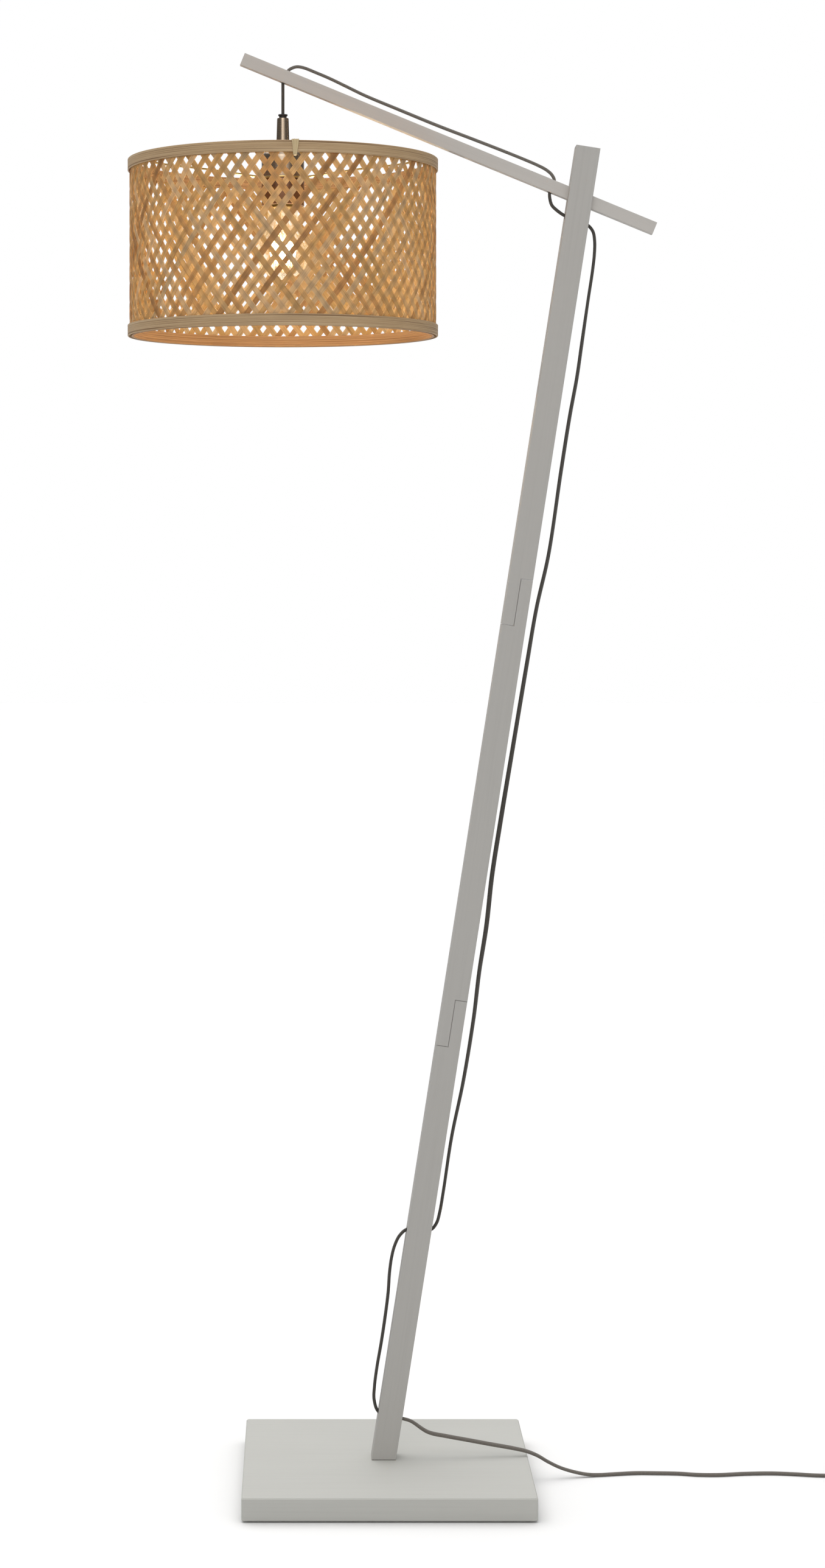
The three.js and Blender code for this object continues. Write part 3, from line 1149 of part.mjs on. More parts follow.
const size = centreOnFootprint();
const whole = (value) => value.toFixed(1);
console.log(`lamp without its cord: ${size.toArray().map(whole).join(' x ')} mm`);
console.log(`foot at X ${whole(lamp.position.x)}, Y ${lamp.position.y.toFixed(2)}`);
console.log(`cord leaves the arm at X ${(pivot.x + lamp.position.x).toFixed(2)}, Z ${pivot.z.toFixed(2)}`);
console.log(`coil: least gap between turns ${coilLeastGap().toFixed(2)} mm`);
for (const [name, points] of Object.entries(cordRoutes)) {
  console.log(`${name}: ${whole(lengthOf(points))} mm`);
}

export default lamp;
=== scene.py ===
# A floor lamp of painted bamboo with a woven bamboo drum shade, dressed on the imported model.
# Metres, +Z up, the front of the lamp towards -Y.

import json
import math
import random

import bmesh
import bpy
from mathutils import Matrix, Vector


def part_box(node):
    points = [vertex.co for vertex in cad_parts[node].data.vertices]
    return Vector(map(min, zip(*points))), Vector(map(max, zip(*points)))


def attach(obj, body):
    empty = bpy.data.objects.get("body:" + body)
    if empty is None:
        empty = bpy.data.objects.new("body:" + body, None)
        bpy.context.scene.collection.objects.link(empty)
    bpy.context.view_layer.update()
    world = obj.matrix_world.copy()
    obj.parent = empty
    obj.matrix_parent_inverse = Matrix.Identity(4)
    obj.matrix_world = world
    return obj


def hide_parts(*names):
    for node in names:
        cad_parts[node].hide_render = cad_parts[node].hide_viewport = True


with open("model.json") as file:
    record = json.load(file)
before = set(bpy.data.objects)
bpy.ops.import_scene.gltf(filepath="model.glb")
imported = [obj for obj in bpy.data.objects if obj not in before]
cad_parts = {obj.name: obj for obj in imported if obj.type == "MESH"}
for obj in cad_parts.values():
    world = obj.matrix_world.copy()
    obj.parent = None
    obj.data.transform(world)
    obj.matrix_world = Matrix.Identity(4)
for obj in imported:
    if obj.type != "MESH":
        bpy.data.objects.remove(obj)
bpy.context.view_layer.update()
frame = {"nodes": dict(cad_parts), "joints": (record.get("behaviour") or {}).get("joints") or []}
NODES = frame["nodes"]
PIVOT = Vector(next(joint["pos_m"] for joint in frame["joints"] if joint["name"] == "swing_side"))

MM = 0.001
TURN = 2 * math.pi
TINY = 1e-7
DEPTH = Vector((0, 1, 0))
UP = Vector((0, 0, 1))
WHITE = (1, 1, 1, 1)

# The lamp's driving sizes, as in the model's source
POLE_LEAN = math.radians(8.87)
HALF_WIDTH = 26.5 * MM / 2
ARM_SLOPE = math.radians(22.34)
ARM_HEIGHT = 14 * MM
CROSSING_HEIGHT = 1403.5 * MM
CORD_WIDTH = 5.2 * MM
CORD_THICKNESS = 3.5 * MM
SEAT_GAP = 0.3 * MM

# The cord's holes: through the arm, how far from the pole; through the pole, how high and at what fall
PENDANT_HOLE = -350.9 * MM
FEED_HOLE = -33 * MM
HIGH_HOLE = (CROSSING_HEIGHT - 24.9 * MM, ARM_SLOPE)
LOW_HOLE = (253.4 * MM, 0)
FOOT_HOLE = (46.7 * MM, math.radians(16.7))


# Camera: its place was worked out from the photograph's vanishing lines and the lamp's size

PHOTO_WIDTH_PX = 1356
PHOTO_HEIGHT_PX = 2576
FOCAL_PX = 5227.8
AXIS_X_PX = 500
HORIZON_PX = 930
CAMERA_PLACE = Vector((-97.1, -3505.9, 1007.6)) * MM
SENSOR_MM = 36


def linked(name, data):
    """A new object of this data, in the scene."""
    made = bpy.data.objects.new(name, data)
    bpy.context.scene.collection.objects.link(made)
    return made


def make_camera():
    data = bpy.data.cameras.new("camera")
    data.sensor_width = SENSOR_MM
    data.lens = SENSOR_MM * FOCAL_PX / PHOTO_HEIGHT_PX
    data.shift_x = (PHOTO_WIDTH_PX / 2 - AXIS_X_PX) / PHOTO_HEIGHT_PX
    data.shift_y = (HORIZON_PX - PHOTO_HEIGHT_PX / 2) / PHOTO_HEIGHT_PX
    camera = linked("camera", data)
    camera.location = CAMERA_PLACE
    camera.rotation_euler = (math.radians(90), 0, 0)
    bpy.context.scene.camera = camera


# Frames of the arm and the pole

def turned_in_plane(across, up, angle):
    """A step across and up in the XZ plane, turned clockwise as the front sees it."""
    return Vector((across * math.cos(angle) + up * math.sin(angle), 0,
                   up * math.cos(angle) - across * math.sin(angle)))


CROSSING = PIVOT - turned_in_plane(PENDANT_HOLE, -ARM_HEIGHT / 2, ARM_SLOPE)
POLE_FOOT = CROSSING - turned_in_plane(0, CROSSING_HEIGHT, POLE_LEAN)


def on_arm(along, up):
    """A point beside the arm: along it from the pole's crossing towards its low end, and above its axis."""
    return CROSSING + turned_in_plane(along, up, ARM_SLOPE)


def on_pole(across, up):
    return POLE_FOOT + turned_in_plane(across, up, POLE_LEAN)


def in_hole(hole, across):
    """A point on the axis of a hole through the pole, which falls to the right."""
    height, slope = hole
    return on_pole(across, height - across * math.tan(slope - POLE_LEAN))


def about_axis(radius, angle, height):
    """A point round the pendant's axis."""
    return Vector((PIVOT.x + radius * math.cos(angle), PIVOT.y + radius * math.sin(angle), height))


# Lines

EASE_STEPS = 3

# A side is at least this many times as long as the easing at either of its ends
EASE_SIDE_RATIO = 2.2


def smooth_route(points, step):
    """Centripetal Catmull-Rom points through the given ones, about step apart."""
    line = [2 * points[0] - points[1], *points, 2 * points[-1] - points[-2]]
    out = []
    for p0, p1, p2, p3 in zip(line, line[1:], line[2:], line[3:]):
        t01, t12, t23 = ((b - a).length ** 0.5 for a, b in ((p0, p1), (p1, p2), (p2, p3)))
        m1 = (p2 - p1) + t12 * ((p1 - p0) / t01 - (p2 - p0) / (t01 + t12))
        m2 = (p2 - p1) + t12 * ((p3 - p2) / t23 - (p3 - p1) / (t12 + t23))
        pieces = max(1, round((p2 - p1).length / step))
        for j in range(pieces):
            t = j / pieces
            out.append((2 * t ** 3 - 3 * t ** 2 + 1) * p1 + (t ** 3 - 2 * t ** 2 + t) * m1
                       + (-2 * t ** 3 + 3 * t ** 2) * p2 + (t ** 3 - t ** 2) * m2)
    return [*out, points[-1].copy()]


def runs(points):
    """How far along the line each of its points lies."""
    out = [0]
    for a, b in zip(points, points[1:]):
        out.append(out[-1] + math.dist(a, b))
    return out


def tangents(points):
    """The line's direction at each of its points."""
    return [(after - before).normalized()
            for before, after in zip([points[0], *points[:-1]], [*points[1:], points[-1]])]


def smoothstep(value, low, high):
    t = min(1, max(0, (value - low) / (high - low)))
    return t * t * (3 - 2 * t)


def circle(radius, sides):
    return [(radius * math.cos(TURN * i / sides), radius * math.sin(TURN * i / sides)) for i in range(sides)]


def arc(centre, radius, start, end, steps):
    """Points of an arc in a turned profile, angles in degrees from the outward direction."""
    points = []
    for i in range(steps + 1):
        angle = math.radians(start + (end - start) * i / steps)
        points.append((centre[0] + radius * math.cos(angle), centre[1] + radius * math.sin(angle)))
    return points


def eased(points, radius):
    """A closed profile with its corners rounded by quadratic curves, none longer than its sides allow."""
    out = []
    for i, here in enumerate(points):
        before, here, after = Vector(points[i - 1]), Vector(here), Vector(points[(i + 1) % len(points)])
        into, away = here - before, after - here
        room = min(radius, into.length / EASE_SIDE_RATIO, away.length / EASE_SIDE_RATIO)
        start, end = here - into.normalized() * room, here + away.normalized() * room
        for j in range(EASE_STEPS + 1):
            t = j / EASE_STEPS
            out.append(tuple(start * (1 - t) ** 2 + here * (2 * t * (1 - t)) + end * t ** 2))
    return out


# Meshes

SHARP_ANGLE = math.radians(35)


def mesh_from(name, verts, faces, uvs, tones=()):
    """A mesh with a UV in metres for each vertex and, if given, a tone: a colour and one more value."""
    mesh = bpy.data.meshes.new(name)
    mesh.from_pydata([tuple(v) for v in verts], [], faces)
    layer = mesh.uv_layers.new(name="lie")
    for loop in mesh.loops:
        layer.data[loop.index].uv = uvs[loop.vertex_index]
    if tones:
        attribute = mesh.color_attributes.new("tone", "FLOAT_COLOR", "POINT")
        for i, tone in enumerate(tones):
            attribute.data[i].color = tone
    mesh.validate()
    mesh.update()
    return mesh


def face_out(mesh):
    work = bmesh.new()
    work.from_mesh(mesh)
    bmesh.ops.recalc_face_normals(work, faces=work.faces)
    work.to_mesh(mesh)
    work.free()


def new_piece(name, nodes, mesh, body, material, smooth=True):
    """A piece of the lamp, in place of these solids, on one of the model's bodies."""
    piece = linked(name, mesh)
    mesh.materials.append(material)
    if smooth:
        mesh.polygons.foreach_set("use_smooth", [True] * len(mesh.polygons))
    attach(piece, body)
    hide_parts(*nodes)
    return piece


def tube_faces(first, rings, around, closed=False):
    """Faces of a tube of rings of points, from the first point on, wound so that they face out."""
    faces = []
    for i in range(rings if closed else rings - 1):
        a, b = first + i * around, first + (i + 1) % rings * around
        for j in range(around):
            k = (j + 1) % around
            faces.append((a + j, a + k, b + k, b + j))
    if not closed:
        faces.append(tuple(reversed(range(first, first + around))))
        faces.append(tuple(range(first + (rings - 1) * around, first + rings * around)))
    return faces


def swept(name, nodes, points, section, facing, body, material):
    """A tube with this section along the points. facing gives the direction of its width at each."""
    verts, uvs = [], []
    rim = runs(section)
    for point, tangent, wanted, run in zip(points, tangents(points), facing, runs(points)):
        wide = (wanted - tangent * wanted.dot(tangent)).normalized()
        thin = tangent.cross(wide)
        for (x, y), at in zip(section, rim):
            verts.append(point + wide * x + thin * y)
            uvs.append((run, at))
    mesh = mesh_from(name, verts, tube_faces(0, len(points), len(section)), uvs)
    return new_piece(name, nodes, mesh, body, material)


def lathe(name, node_name, profile, body, material, sides=96):
    """A piece turned round the pendant's axis, from (radius, height) pairs in metres."""
    verts, faces, uvs, starts = [], [], [], []
    for (radius, height), run in zip(profile, runs(profile)):
        starts.append(len(verts))
        for j in range(1 if radius < TINY else sides):
            angle = TURN * j / sides
            verts.append(about_axis(radius, angle, height))
            uvs.append((radius * angle, run))
    tips = [radius < TINY for radius, _ in profile]
    pairs = [(i - 1, i) for i in range(1, len(profile))]
    if not tips[0]:
        pairs.append((len(profile) - 1, 0))
    for a, b in pairs:
        for j in range(sides):
            k = (j + 1) % sides
            near = [starts[a]] if tips[a] else [starts[a] + j, starts[a] + k]
            far = [starts[b]] if tips[b] else [starts[b] + k, starts[b] + j]
            faces.append((*near, *far))
    mesh = mesh_from(name, verts, faces, uvs)
    face_out(mesh)
    new_piece(name, [node_name], mesh, body, material)
    mesh.set_sharp_from_angle(angle=SHARP_ANGLE)


# Material nodes

def material_of(name):
    material = bpy.data.materials.new(name)
    material.use_nodes = True
    tree = material.node_tree
    return material, tree, tree.nodes["Principled BSDF"]


def put(tree, socket, value):
    """Links an input to another node's output, or sets its value."""
    if isinstance(value, bpy.types.NodeSocket):
        tree.links.new(value, socket)
    else:
        socket.default_value = value


def give(tree, shader, values):
    for key, value in values.items():
        put(tree, shader.inputs[key], value)


def node(tree, kind, **values):
    made = tree.nodes.new(kind)
    for key, value in values.items():
        if key in made.inputs:
            put(tree, made.inputs[key], value)
        else:
            setattr(made, key, value)
    return made


def combined(tree, kind, *values, **settings):
    """The output of a node whose inputs are given in their order."""
    made = node(tree, kind, **settings)
    for socket, value in zip(made.inputs, values):
        put(tree, socket, value)
    return made.outputs[0]


def object_place(tree):
    return node(tree, "ShaderNodeTexCoord").outputs["Object"]


def lie_of(tree):
    return node(tree, "ShaderNodeUVMap", uv_map="lie").outputs["UV"]


def noise_of(tree, vector, scale, detail, roughness):
    made = node(tree, "ShaderNodeTexNoise", Vector=vector, Scale=scale, Detail=detail, Roughness=roughness)
    return made.outputs["Fac"]


def fibres_of(tree, vector, scales, detail, roughness):
    """Noise with its own scale along each axis."""
    drawn = node(tree, "ShaderNodeMapping", Vector=vector, Scale=scales).outputs["Vector"]
    return noise_of(tree, drawn, 1, detail, roughness)


def grain_along(tree, direction, stretch, scale, detail, roughness):
    """Noise drawn out along a direction in the lamp's XZ plane."""
    angle = math.atan2(direction.z, direction.x)
    turned = node(tree, "ShaderNodeMapping", Vector=object_place(tree), Rotation=(0, angle, 0))
    return fibres_of(tree, turned.outputs["Vector"], (scale / stretch, scale, scale), detail, roughness)


def ramp(tree, source, stops):
    made = node(tree, "ShaderNodeValToRGB", Fac=source)
    elements = made.color_ramp.elements
    while len(elements) < len(stops):
        elements.new(0.5)
    for element, (at, color) in zip(elements, stops):
        element.position = at
        element.color = color
    return made.outputs["Color"]


def mixed(tree, factor, first, second, blend="MIX"):
    made = node(tree, "ShaderNodeMix", data_type="RGBA", blend_type=blend)
    for index, value in ((0, factor), (6, first), (7, second)):
        put(tree, made.inputs[index], value)
    return made.outputs[2]


def multiplied(tree, first, second):
    return mixed(tree, 1.0, first, second, "MULTIPLY")


def bump(tree, shader, height, strength, distance):
    made = node(tree, "ShaderNodeBump", Height=height, Strength=strength, Distance=distance)
    tree.links.new(made.outputs["Normal"], shader.inputs["Normal"])
    return made.outputs["Normal"]


def srgb(red, green, blue):
    """A linear colour from the 0 to 255 values that a picture shows."""
    def linear(value):
        value /= 255
        return value / 12.92 if value <= 0.04045 else ((value + 0.055) / 1.055) ** 2.4
    return (linear(red), linear(green), linear(blue), 1)


def grey(level):
    return (level, level, level, 1)


def toned(color, factor):
    return tuple(min(1, part * factor) for part in color[:3]) + (1,)


# Materials

LIGHT_LET_THROUGH = 0.42
YARN_SLANT = math.radians(42)


def painted_bamboo(name, direction, color):
    """Satin paint over laminated bamboo, with the grain's fine ridges along the piece."""
    material, tree, shader = material_of(name)
    grain = grain_along(tree, direction, 60, 420, 6, 0.6)
    drift = grain_along(tree, direction, 6, 14, 3, 0.5)
    tone = ramp(tree, grain, [(0.3, toned(color, 0.965)), (0.5, color), (0.72, toned(color, 1.015))])
    cloud = ramp(tree, drift, [(0.3, grey(0.985)), (0.7, grey(1.01))])
    rough = ramp(tree, grain, [(0.2, grey(0.62)), (0.8, grey(0.72))])
    give(tree, shader, {"Base Color": multiplied(tree, tone, cloud), "Roughness": rough,
                        "Specular IOR Level": 0.3})
    bump(tree, shader, grain, 0.06, 0.2 * MM)
    return material


def hoop_material(name, dark, plain, pale):
    """Bent split bamboo: fibres and fine dark lines run round the hoop, the lines partly the bamboo's own and
    partly painted shade of the grooves between its fibres.
    """
    material, tree, shader = material_of(name)
    lie = lie_of(tree)
    lines = fibres_of(tree, lie, (4, 1150, 1), 5, 0.6)
    cloud = fibres_of(tree, lie, (14, 60, 1), 3, 0.5)
    tone = ramp(tree, lines, [(0.36, dark), (0.47, plain), (0.56, plain), (0.68, pale)])
    tint = ramp(tree, cloud, [(0.3, (0.9, 0.87, 0.83, 1)), (0.7, (1.04, 1.03, 1.02, 1))])
    give(tree, shader, {"Base Color": multiplied(tree, tone, tint), "Roughness": 0.5,
                        "Specular IOR Level": 0.35})
    bump(tree, shader, lines, 0.35, 0.3 * MM)
    return material


def weave_material():
    """Split bamboo strips: each strip's own tone, fine fibres along it, and some light let through."""
    material, tree, shader = material_of("woven bamboo")
    lie = lie_of(tree)
    lines = fibres_of(tree, lie, (9, 1000, 1), 5, 0.65)
    cloud = fibres_of(tree, lie, (16, 240, 1), 3, 0.55)
    strip = node(tree, "ShaderNodeVertexColor", layer_name="tone")
    streak = ramp(tree, lines, [(0.32, (0.64, 0.57, 0.5, 1)), (0.46, (0.96, 0.95, 0.94, 1)),
                                (0.66, (1.12, 1.11, 1.09, 1))])
    stain = ramp(tree, cloud, [(0.3, (0.9, 0.86, 0.8, 1)), (0.65, (1.05, 1.04, 1.03, 1))])
    # The strips' edges are lighter: partly their own paler cut fibre, partly a painted highlight
    edge_paleness_and_highlight = (1.16, 1.15, 1.12, 1)
    edges = ramp(tree, strip.outputs["Alpha"], [(0.0, edge_paleness_and_highlight), (0.07, edge_paleness_and_highlight), (0.14, WHITE),
                                                (0.86, WHITE), (0.93, edge_paleness_and_highlight), (1.0, edge_paleness_and_highlight)])
    color = multiplied(tree, multiplied(tree, multiplied(tree, strip.outputs["Color"], streak), stain), edges)
    give(tree, shader, {"Base Color": color, "Roughness": 0.5, "Specular IOR Level": 0.35})
    normal = bump(tree, shader, lines, 0.3, 0.2 * MM)
    paler = node(tree, "ShaderNodeGamma", Color=color, Gamma=0.55).outputs["Color"]
    warm = multiplied(tree, paler, (1.0, 0.94, 0.82, 1))
    through = node(tree, "ShaderNodeBsdfTranslucent", Color=warm, Normal=normal).outputs["BSDF"]
    blend = combined(tree, "ShaderNodeMixShader", LIGHT_LET_THROUGH, shader.outputs["BSDF"], through)
    tree.links.new(blend, tree.nodes["Material Output"].inputs["Surface"])
    return material


def cord_material(name, painted_light_level):
    """Grey textile braid over a flat cable: crossing yarns that show as fine diamonds."""
    material, tree, shader = material_of(name)
    lie = lie_of(tree)
    yarns = []
    for slant in (YARN_SLANT, -YARN_SLANT):
        turned = node(tree, "ShaderNodeMapping", Vector=lie, Rotation=(0, 0, slant)).outputs["Vector"]
        wave = node(tree, "ShaderNodeTexWave", Vector=turned, Scale=420, Distortion=1.2, Detail=2)
        yarns.append(wave.outputs["Fac"])
    braid = combined(tree, "ShaderNodeMath", *yarns, operation="MAXIMUM")
    # painted_light_level scales the braid's colours, making lighter copies as painted light and darker ones
    # as painted shade
    dark, plain, pale = (srgb(*(painted_light_level * part for part in color))
                         for color in ((64, 60, 55), (112, 106, 99), (138, 132, 124)))
    tone = ramp(tree, braid, [(0.35, dark), (0.7, plain), (1.0, pale)])
    speck = ramp(tree, noise_of(tree, lie, 900, 3, 0.6), [(0.35, grey(0.8)), (0.7, (1.12, 1.11, 1.1, 1))])
    give(tree, shader, {"Base Color": multiplied(tree, tone, speck), "Roughness": 0.92, "Sheen Weight": 0.25})
    bump(tree, shader, braid, 0.6, 0.3 * MM)
    return material


def metal_material(name, color, roughness, brushed=True):
    material, tree, shader = material_of(name)
    lines = fibres_of(tree, object_place(tree), (120, 120, 2600) if brushed else (300, 300, 300), 4, 0.6)
    give(tree, shader, {
        "Base Color": ramp(tree, lines, [(0.3, toned(color, 0.94)), (0.7, toned(color, 1.05))]),
        "Roughness": ramp(tree, lines, [(0.3, grey(roughness * 0.92)), (0.7, grey(roughness * 1.08))]),
        "Metallic": 1.0})
    bump(tree, shader, lines, 0.02, 0.1 * MM)
    return material


def plastic_material(name, color, roughness):
    """Moulded plastic with a faint spark-eroded grain."""
    material, tree, shader = material_of(name)
    place = object_place(tree)
    grain = noise_of(tree, place, 1600, 3, 0.6)
    cloud = noise_of(tree, place, 40, 2, 0.5)
    give(tree, shader, {
        "Base Color": ramp(tree, cloud, [(0.3, toned(color, 0.9)), (0.7, toned(color, 1.1))]),
        "Roughness": ramp(tree, grain, [(0.3, grey(roughness * 0.9)), (0.7, grey(roughness * 1.1))])})
    bump(tree, shader, grain, 0.12, 0.1 * MM)
    return material


def felt_material():
    material, tree, shader = material_of("felt")
    fibres = noise_of(tree, object_place(tree), 900, 6, 0.7)
    tone = ramp(tree, fibres, [(0.3, srgb(92, 88, 82)), (0.7, srgb(138, 134, 126))])
    give(tree, shader, {"Base Color": tone, "Roughness": 0.98, "Sheen Weight": 0.4})
    bump(tree, shader, fibres, 0.8, 0.5 * MM)
    return material


def glass_material():
    """Thin clear glass with a painted glow of the filament's light in it: see-through where faced, less so at
    its edges.
    """
    material, tree, shader = material_of("bulb glass")
    ripples = noise_of(tree, object_place(tree), 30, 2, 0.5)
    facing = node(tree, "ShaderNodeLayerWeight", Blend=0.35).outputs["Facing"]
    give(tree, shader, {
        "Base Color": ramp(tree, ripples, [(0.3, (0.98, 0.96, 0.92, 1)), (0.7, WHITE)]),
        "Roughness": 0.03, "Transmission Weight": 1.0, "IOR": 1.3,
        "Alpha": ramp(tree, facing, [(0.0, grey(0.22)), (0.6, grey(0.3)), (1.0, grey(0.8))]),
        "Emission Color": (1.0, 0.7, 0.3, 1), "Emission Strength": 0.3})
    bump(tree, shader, ripples, 0.05, 0.2 * MM)
    return material


def filament_material():
    """A glowing filament, a little hotter in some stretches than in others."""
    material, tree, shader = material_of("filament")
    heat = noise_of(tree, object_place(tree), 120, 2, 0.5)
    glow = ramp(tree, heat, [(0.3, (1.0, 0.62, 0.24, 1)), (0.7, (1.0, 0.78, 0.42, 1))])
    give(tree, shader, {"Base Color": glow, "Emission Color": glow, "Emission Strength": 7})
    return material


# The cord's routes, in the frames of the arm, the pole and the lamp, in millimetres

ARM_RUN = [
    (-348.2, 11.6), (-343.4, 15.4), (-336, 17.2), (-322, 17.4), (-305, 17.2), (-285, 16), (-262, 14.6),
    (-222, 14.4), (-176, 14.4), (-132, 15.4), (-102, 16), (-73, 16.2), (-57, 15.9), (-46, 14.8), (-38, 12),
]
ARM_LOOP = [(-29.6, -14), (-25.6, -18.8), (-19.4, -21.6)]
POLE_RUN = [
    (20, 1369.5), (23.4, 1360), (25.4, 1346), (26.3, 1326), (26.4, 1296), (27, 1244), (27.4, 1208),
    (26.2, 1165), (26, 1104), (26.6, 1010), (22.6, 950), (21.5, 885), (20.5, 797), (19.6, 710),
    (19.6, 650), (22, 596), (22, 544), (23.8, 492), (23.2, 422), (20, 360), (20.2, 300), (19.8, 276),
    (18.2, 263.5),
]
FOOT_LOOP = [
    (-19.9, 243.6), (-23.6, 232), (-25, 217.7), (-24.6, 200.8), (-22.8, 180), (-22, 155), (-21.8, 125),
    (-22.3, 96), (-21.7, 75), (-19.8, 60.5),
]
LEAD = [
    (49, 0.5, 53.4), (69.8, 1, 48.6), (90.4, 2, 44.6), (117.2, 3, 39.4), (143.9, 4, 34.4), (159, 5, 30.6),
    (170.6, 6, 25.6), (182, 7.4, 18.6), (196, 9.4, 11.4), (212, 11.6, 6), (227, 13.4, 2.8), (240, 15.4, 1.9),
    (258, 18.8, 1.9), (280, 22.6, 1.9), (305, 22.2, 1.9), (328, 20.6, 1.9), (348, 16, 1.9),
    (372, 15.4, 1.9), (401, 20, 1.9), (431, 21.6, 1.9), (456, 18.4, 1.9), (478, 14, 1.9), (495, 12.4, 2.4),
]
CORD_END_GAP = 0.15 * MM
DROP_TOP_GAP = 1.8 * MM
CORD_STEP = 2 * MM
SECTION_POINTS = 20
SECTION_POWER = 2.4

# How far the cord is twisted, in degrees, at shares of each stretch
ARM_RUN_TWISTS = [(0, 0), (0.1, 4), (0.55, 22), (0.75, 16), (1, 0)]
ARM_LOOP_TWISTS = [(0, 0), (0.3, 14), (0.6, 22), (1, 0)]
POLE_RUN_TWISTS = [(0, 0), (0.07, 0), (0.13, 25), (0.24, 35), (0.3, 27), (0.37, 35), (0.48, 50), (0.6, 70),
                   (0.68, 70), (0.74, 45), (0.8, 32), (0.88, 20), (0.95, 5), (1, 0)]
FOOT_LOOP_TWISTS = [(0, 0), (0.2, 6), (0.5, 14), (0.8, 6), (1, 0)]
NO_TWISTS = [(0, 0), (1, 0)]

# The lead's twist over the base and on the floor, and the stretches over which it comes, changes and goes
LEAD_TWIST_OVER_BASE = math.radians(25)
LEAD_TWIST_ON_FLOOR = math.radians(6)
LEAD_TWIST_COMES = (10 * MM, 60 * MM)
LEAD_TWIST_CHANGES = (120 * MM, 205 * MM)
LEAD_TWIST_GOES = (440 * MM, 500 * MM)

# Where the lead turns onto its edge, from the coil's start, and where it lies down again, from its end
LEAD_STANDS_UP = (-22 * MM, -2 * MM)
LEAD_LIES_DOWN = (2 * MM, 18 * MM)

# The foot switch's inlet, and the coil of the lead's spare length, on the floor with its tie round it
SWITCH_CORD_HEIGHT = 5 * MM
COIL_TURNS_PER_LAYER = 3.25
COIL_INNER_RADIUS = 21 * MM
COIL_REVERSAL_ROOM = 2.3 * MM
COIL_TURN_GAP = 0.6 * MM
COIL_END_GAP = 0.2 * MM
COIL_STEPS_PER_TURN = 72
HALF_REVERSAL_TURNS = 0.25
COIL_OPENING_TURNS = 0.5
TIE_THICKNESS = 0.8 * MM
TIE_FLOOR_GAP = 0.5 * MM


def cord_section():
    """A flat cable's section: an oval with flattened sides."""
    out = []
    for x, y in circle(1, SECTION_POINTS):
        flat = (abs(x) ** SECTION_POWER + abs(y) ** SECTION_POWER) ** (-1 / SECTION_POWER)
        out.append((x * flat * CORD_WIDTH / 2, y * flat * CORD_THICKNESS / 2))
    return out


def cord_piece(name, node_name, route, twists, material, body="stand"):
    """One stretch of cord. twists gives, at some shares of the route, how many degrees the cord's
    wider side is turned out of the lamp's depth towards the front."""
    points = smooth_route(route, CORD_STEP)
    along = runs(points)
    facing = []
    for run, tangent in zip(along, tangents(points)):
        share = run / along[-1]
        low = [entry for entry in twists if entry[0] <= share][-1]
        high = next((entry for entry in twists if entry[0] >= share), low)
        blend = smoothstep(share, low[0], high[0]) if high[0] > low[0] else 0
        twist = math.radians(low[1] + (high[1] - low[1]) * blend)
        facing.append(DEPTH * math.cos(twist) + tangent.cross(DEPTH) * math.sin(twist))
    piece = swept(name, [node_name], points, cord_section(), facing, body, material)


# painted_shade_cord is the same braid darkened as painted shade, for the hanging and upright stretches
def make_cords(material, painted_shade_cord):
    rim = ARM_HEIGHT / 2
    run = [on_arm(along * MM, up * MM) for along, up in ARM_RUN]
    route = [on_arm(PENDANT_HOLE, -rim + DROP_TOP_GAP), on_arm(PENDANT_HOLE, 0), on_arm(PENDANT_HOLE, rim),
             *run, on_arm(FEED_HOLE, rim), on_arm(FEED_HOLE, CORD_END_GAP)]
    cord_piece("cord_over_arm", "cord_arm_run", route, ARM_RUN_TWISTS, material)

    loop = [on_arm(along * MM, up * MM) for along, up in ARM_LOOP]
    route = [on_arm(FEED_HOLE, -CORD_END_GAP), on_arm(FEED_HOLE, -rim), *loop,
             in_hole(HIGH_HOLE, -HALF_WIDTH), in_hole(HIGH_HOLE, -CORD_END_GAP)]
    cord_piece("cord_arm_to_pole", "cord_arm_loop", route, ARM_LOOP_TWISTS, painted_shade_cord)

    run = [on_pole(across * MM, up * MM) for across, up in POLE_RUN]
    route = [in_hole(HIGH_HOLE, CORD_END_GAP), in_hole(HIGH_HOLE, HALF_WIDTH), *run,
             in_hole(LOW_HOLE, HALF_WIDTH), in_hole(LOW_HOLE, CORD_END_GAP)]
    cord_piece("cord_down_pole", "cord_pole_run", route, POLE_RUN_TWISTS, painted_shade_cord)

    loop = [on_pole(across * MM, up * MM) for across, up in FOOT_LOOP]
    route = [in_hole(LOW_HOLE, -CORD_END_GAP), in_hole(LOW_HOLE, -HALF_WIDTH), *loop,
             in_hole(FOOT_HOLE, -HALF_WIDTH), in_hole(FOOT_HOLE, -CORD_END_GAP)]
    cord_piece("cord_foot_loop_run", "cord_foot_loop", route, FOOT_LOOP_TWISTS, painted_shade_cord)
    make_lead(material)

    low, high, _ = reach_of("cord_drop")
    route = [about_axis(0, 0, high + (low - high) * i / 6) for i in range(7)]
    cord_piece("cord_hanging", "cord_drop", route, NO_TWISTS, painted_shade_cord, body="hanging_cord")


def coil_radius(turns_from_reversal):
    past = max(0, turns_from_reversal - HALF_REVERSAL_TURNS)
    opened = smoothstep(past, 0, COIL_OPENING_TURNS)
    return COIL_INNER_RADIUS + COIL_REVERSAL_ROOM * opened + (CORD_THICKNESS + COIL_TURN_GAP) * past


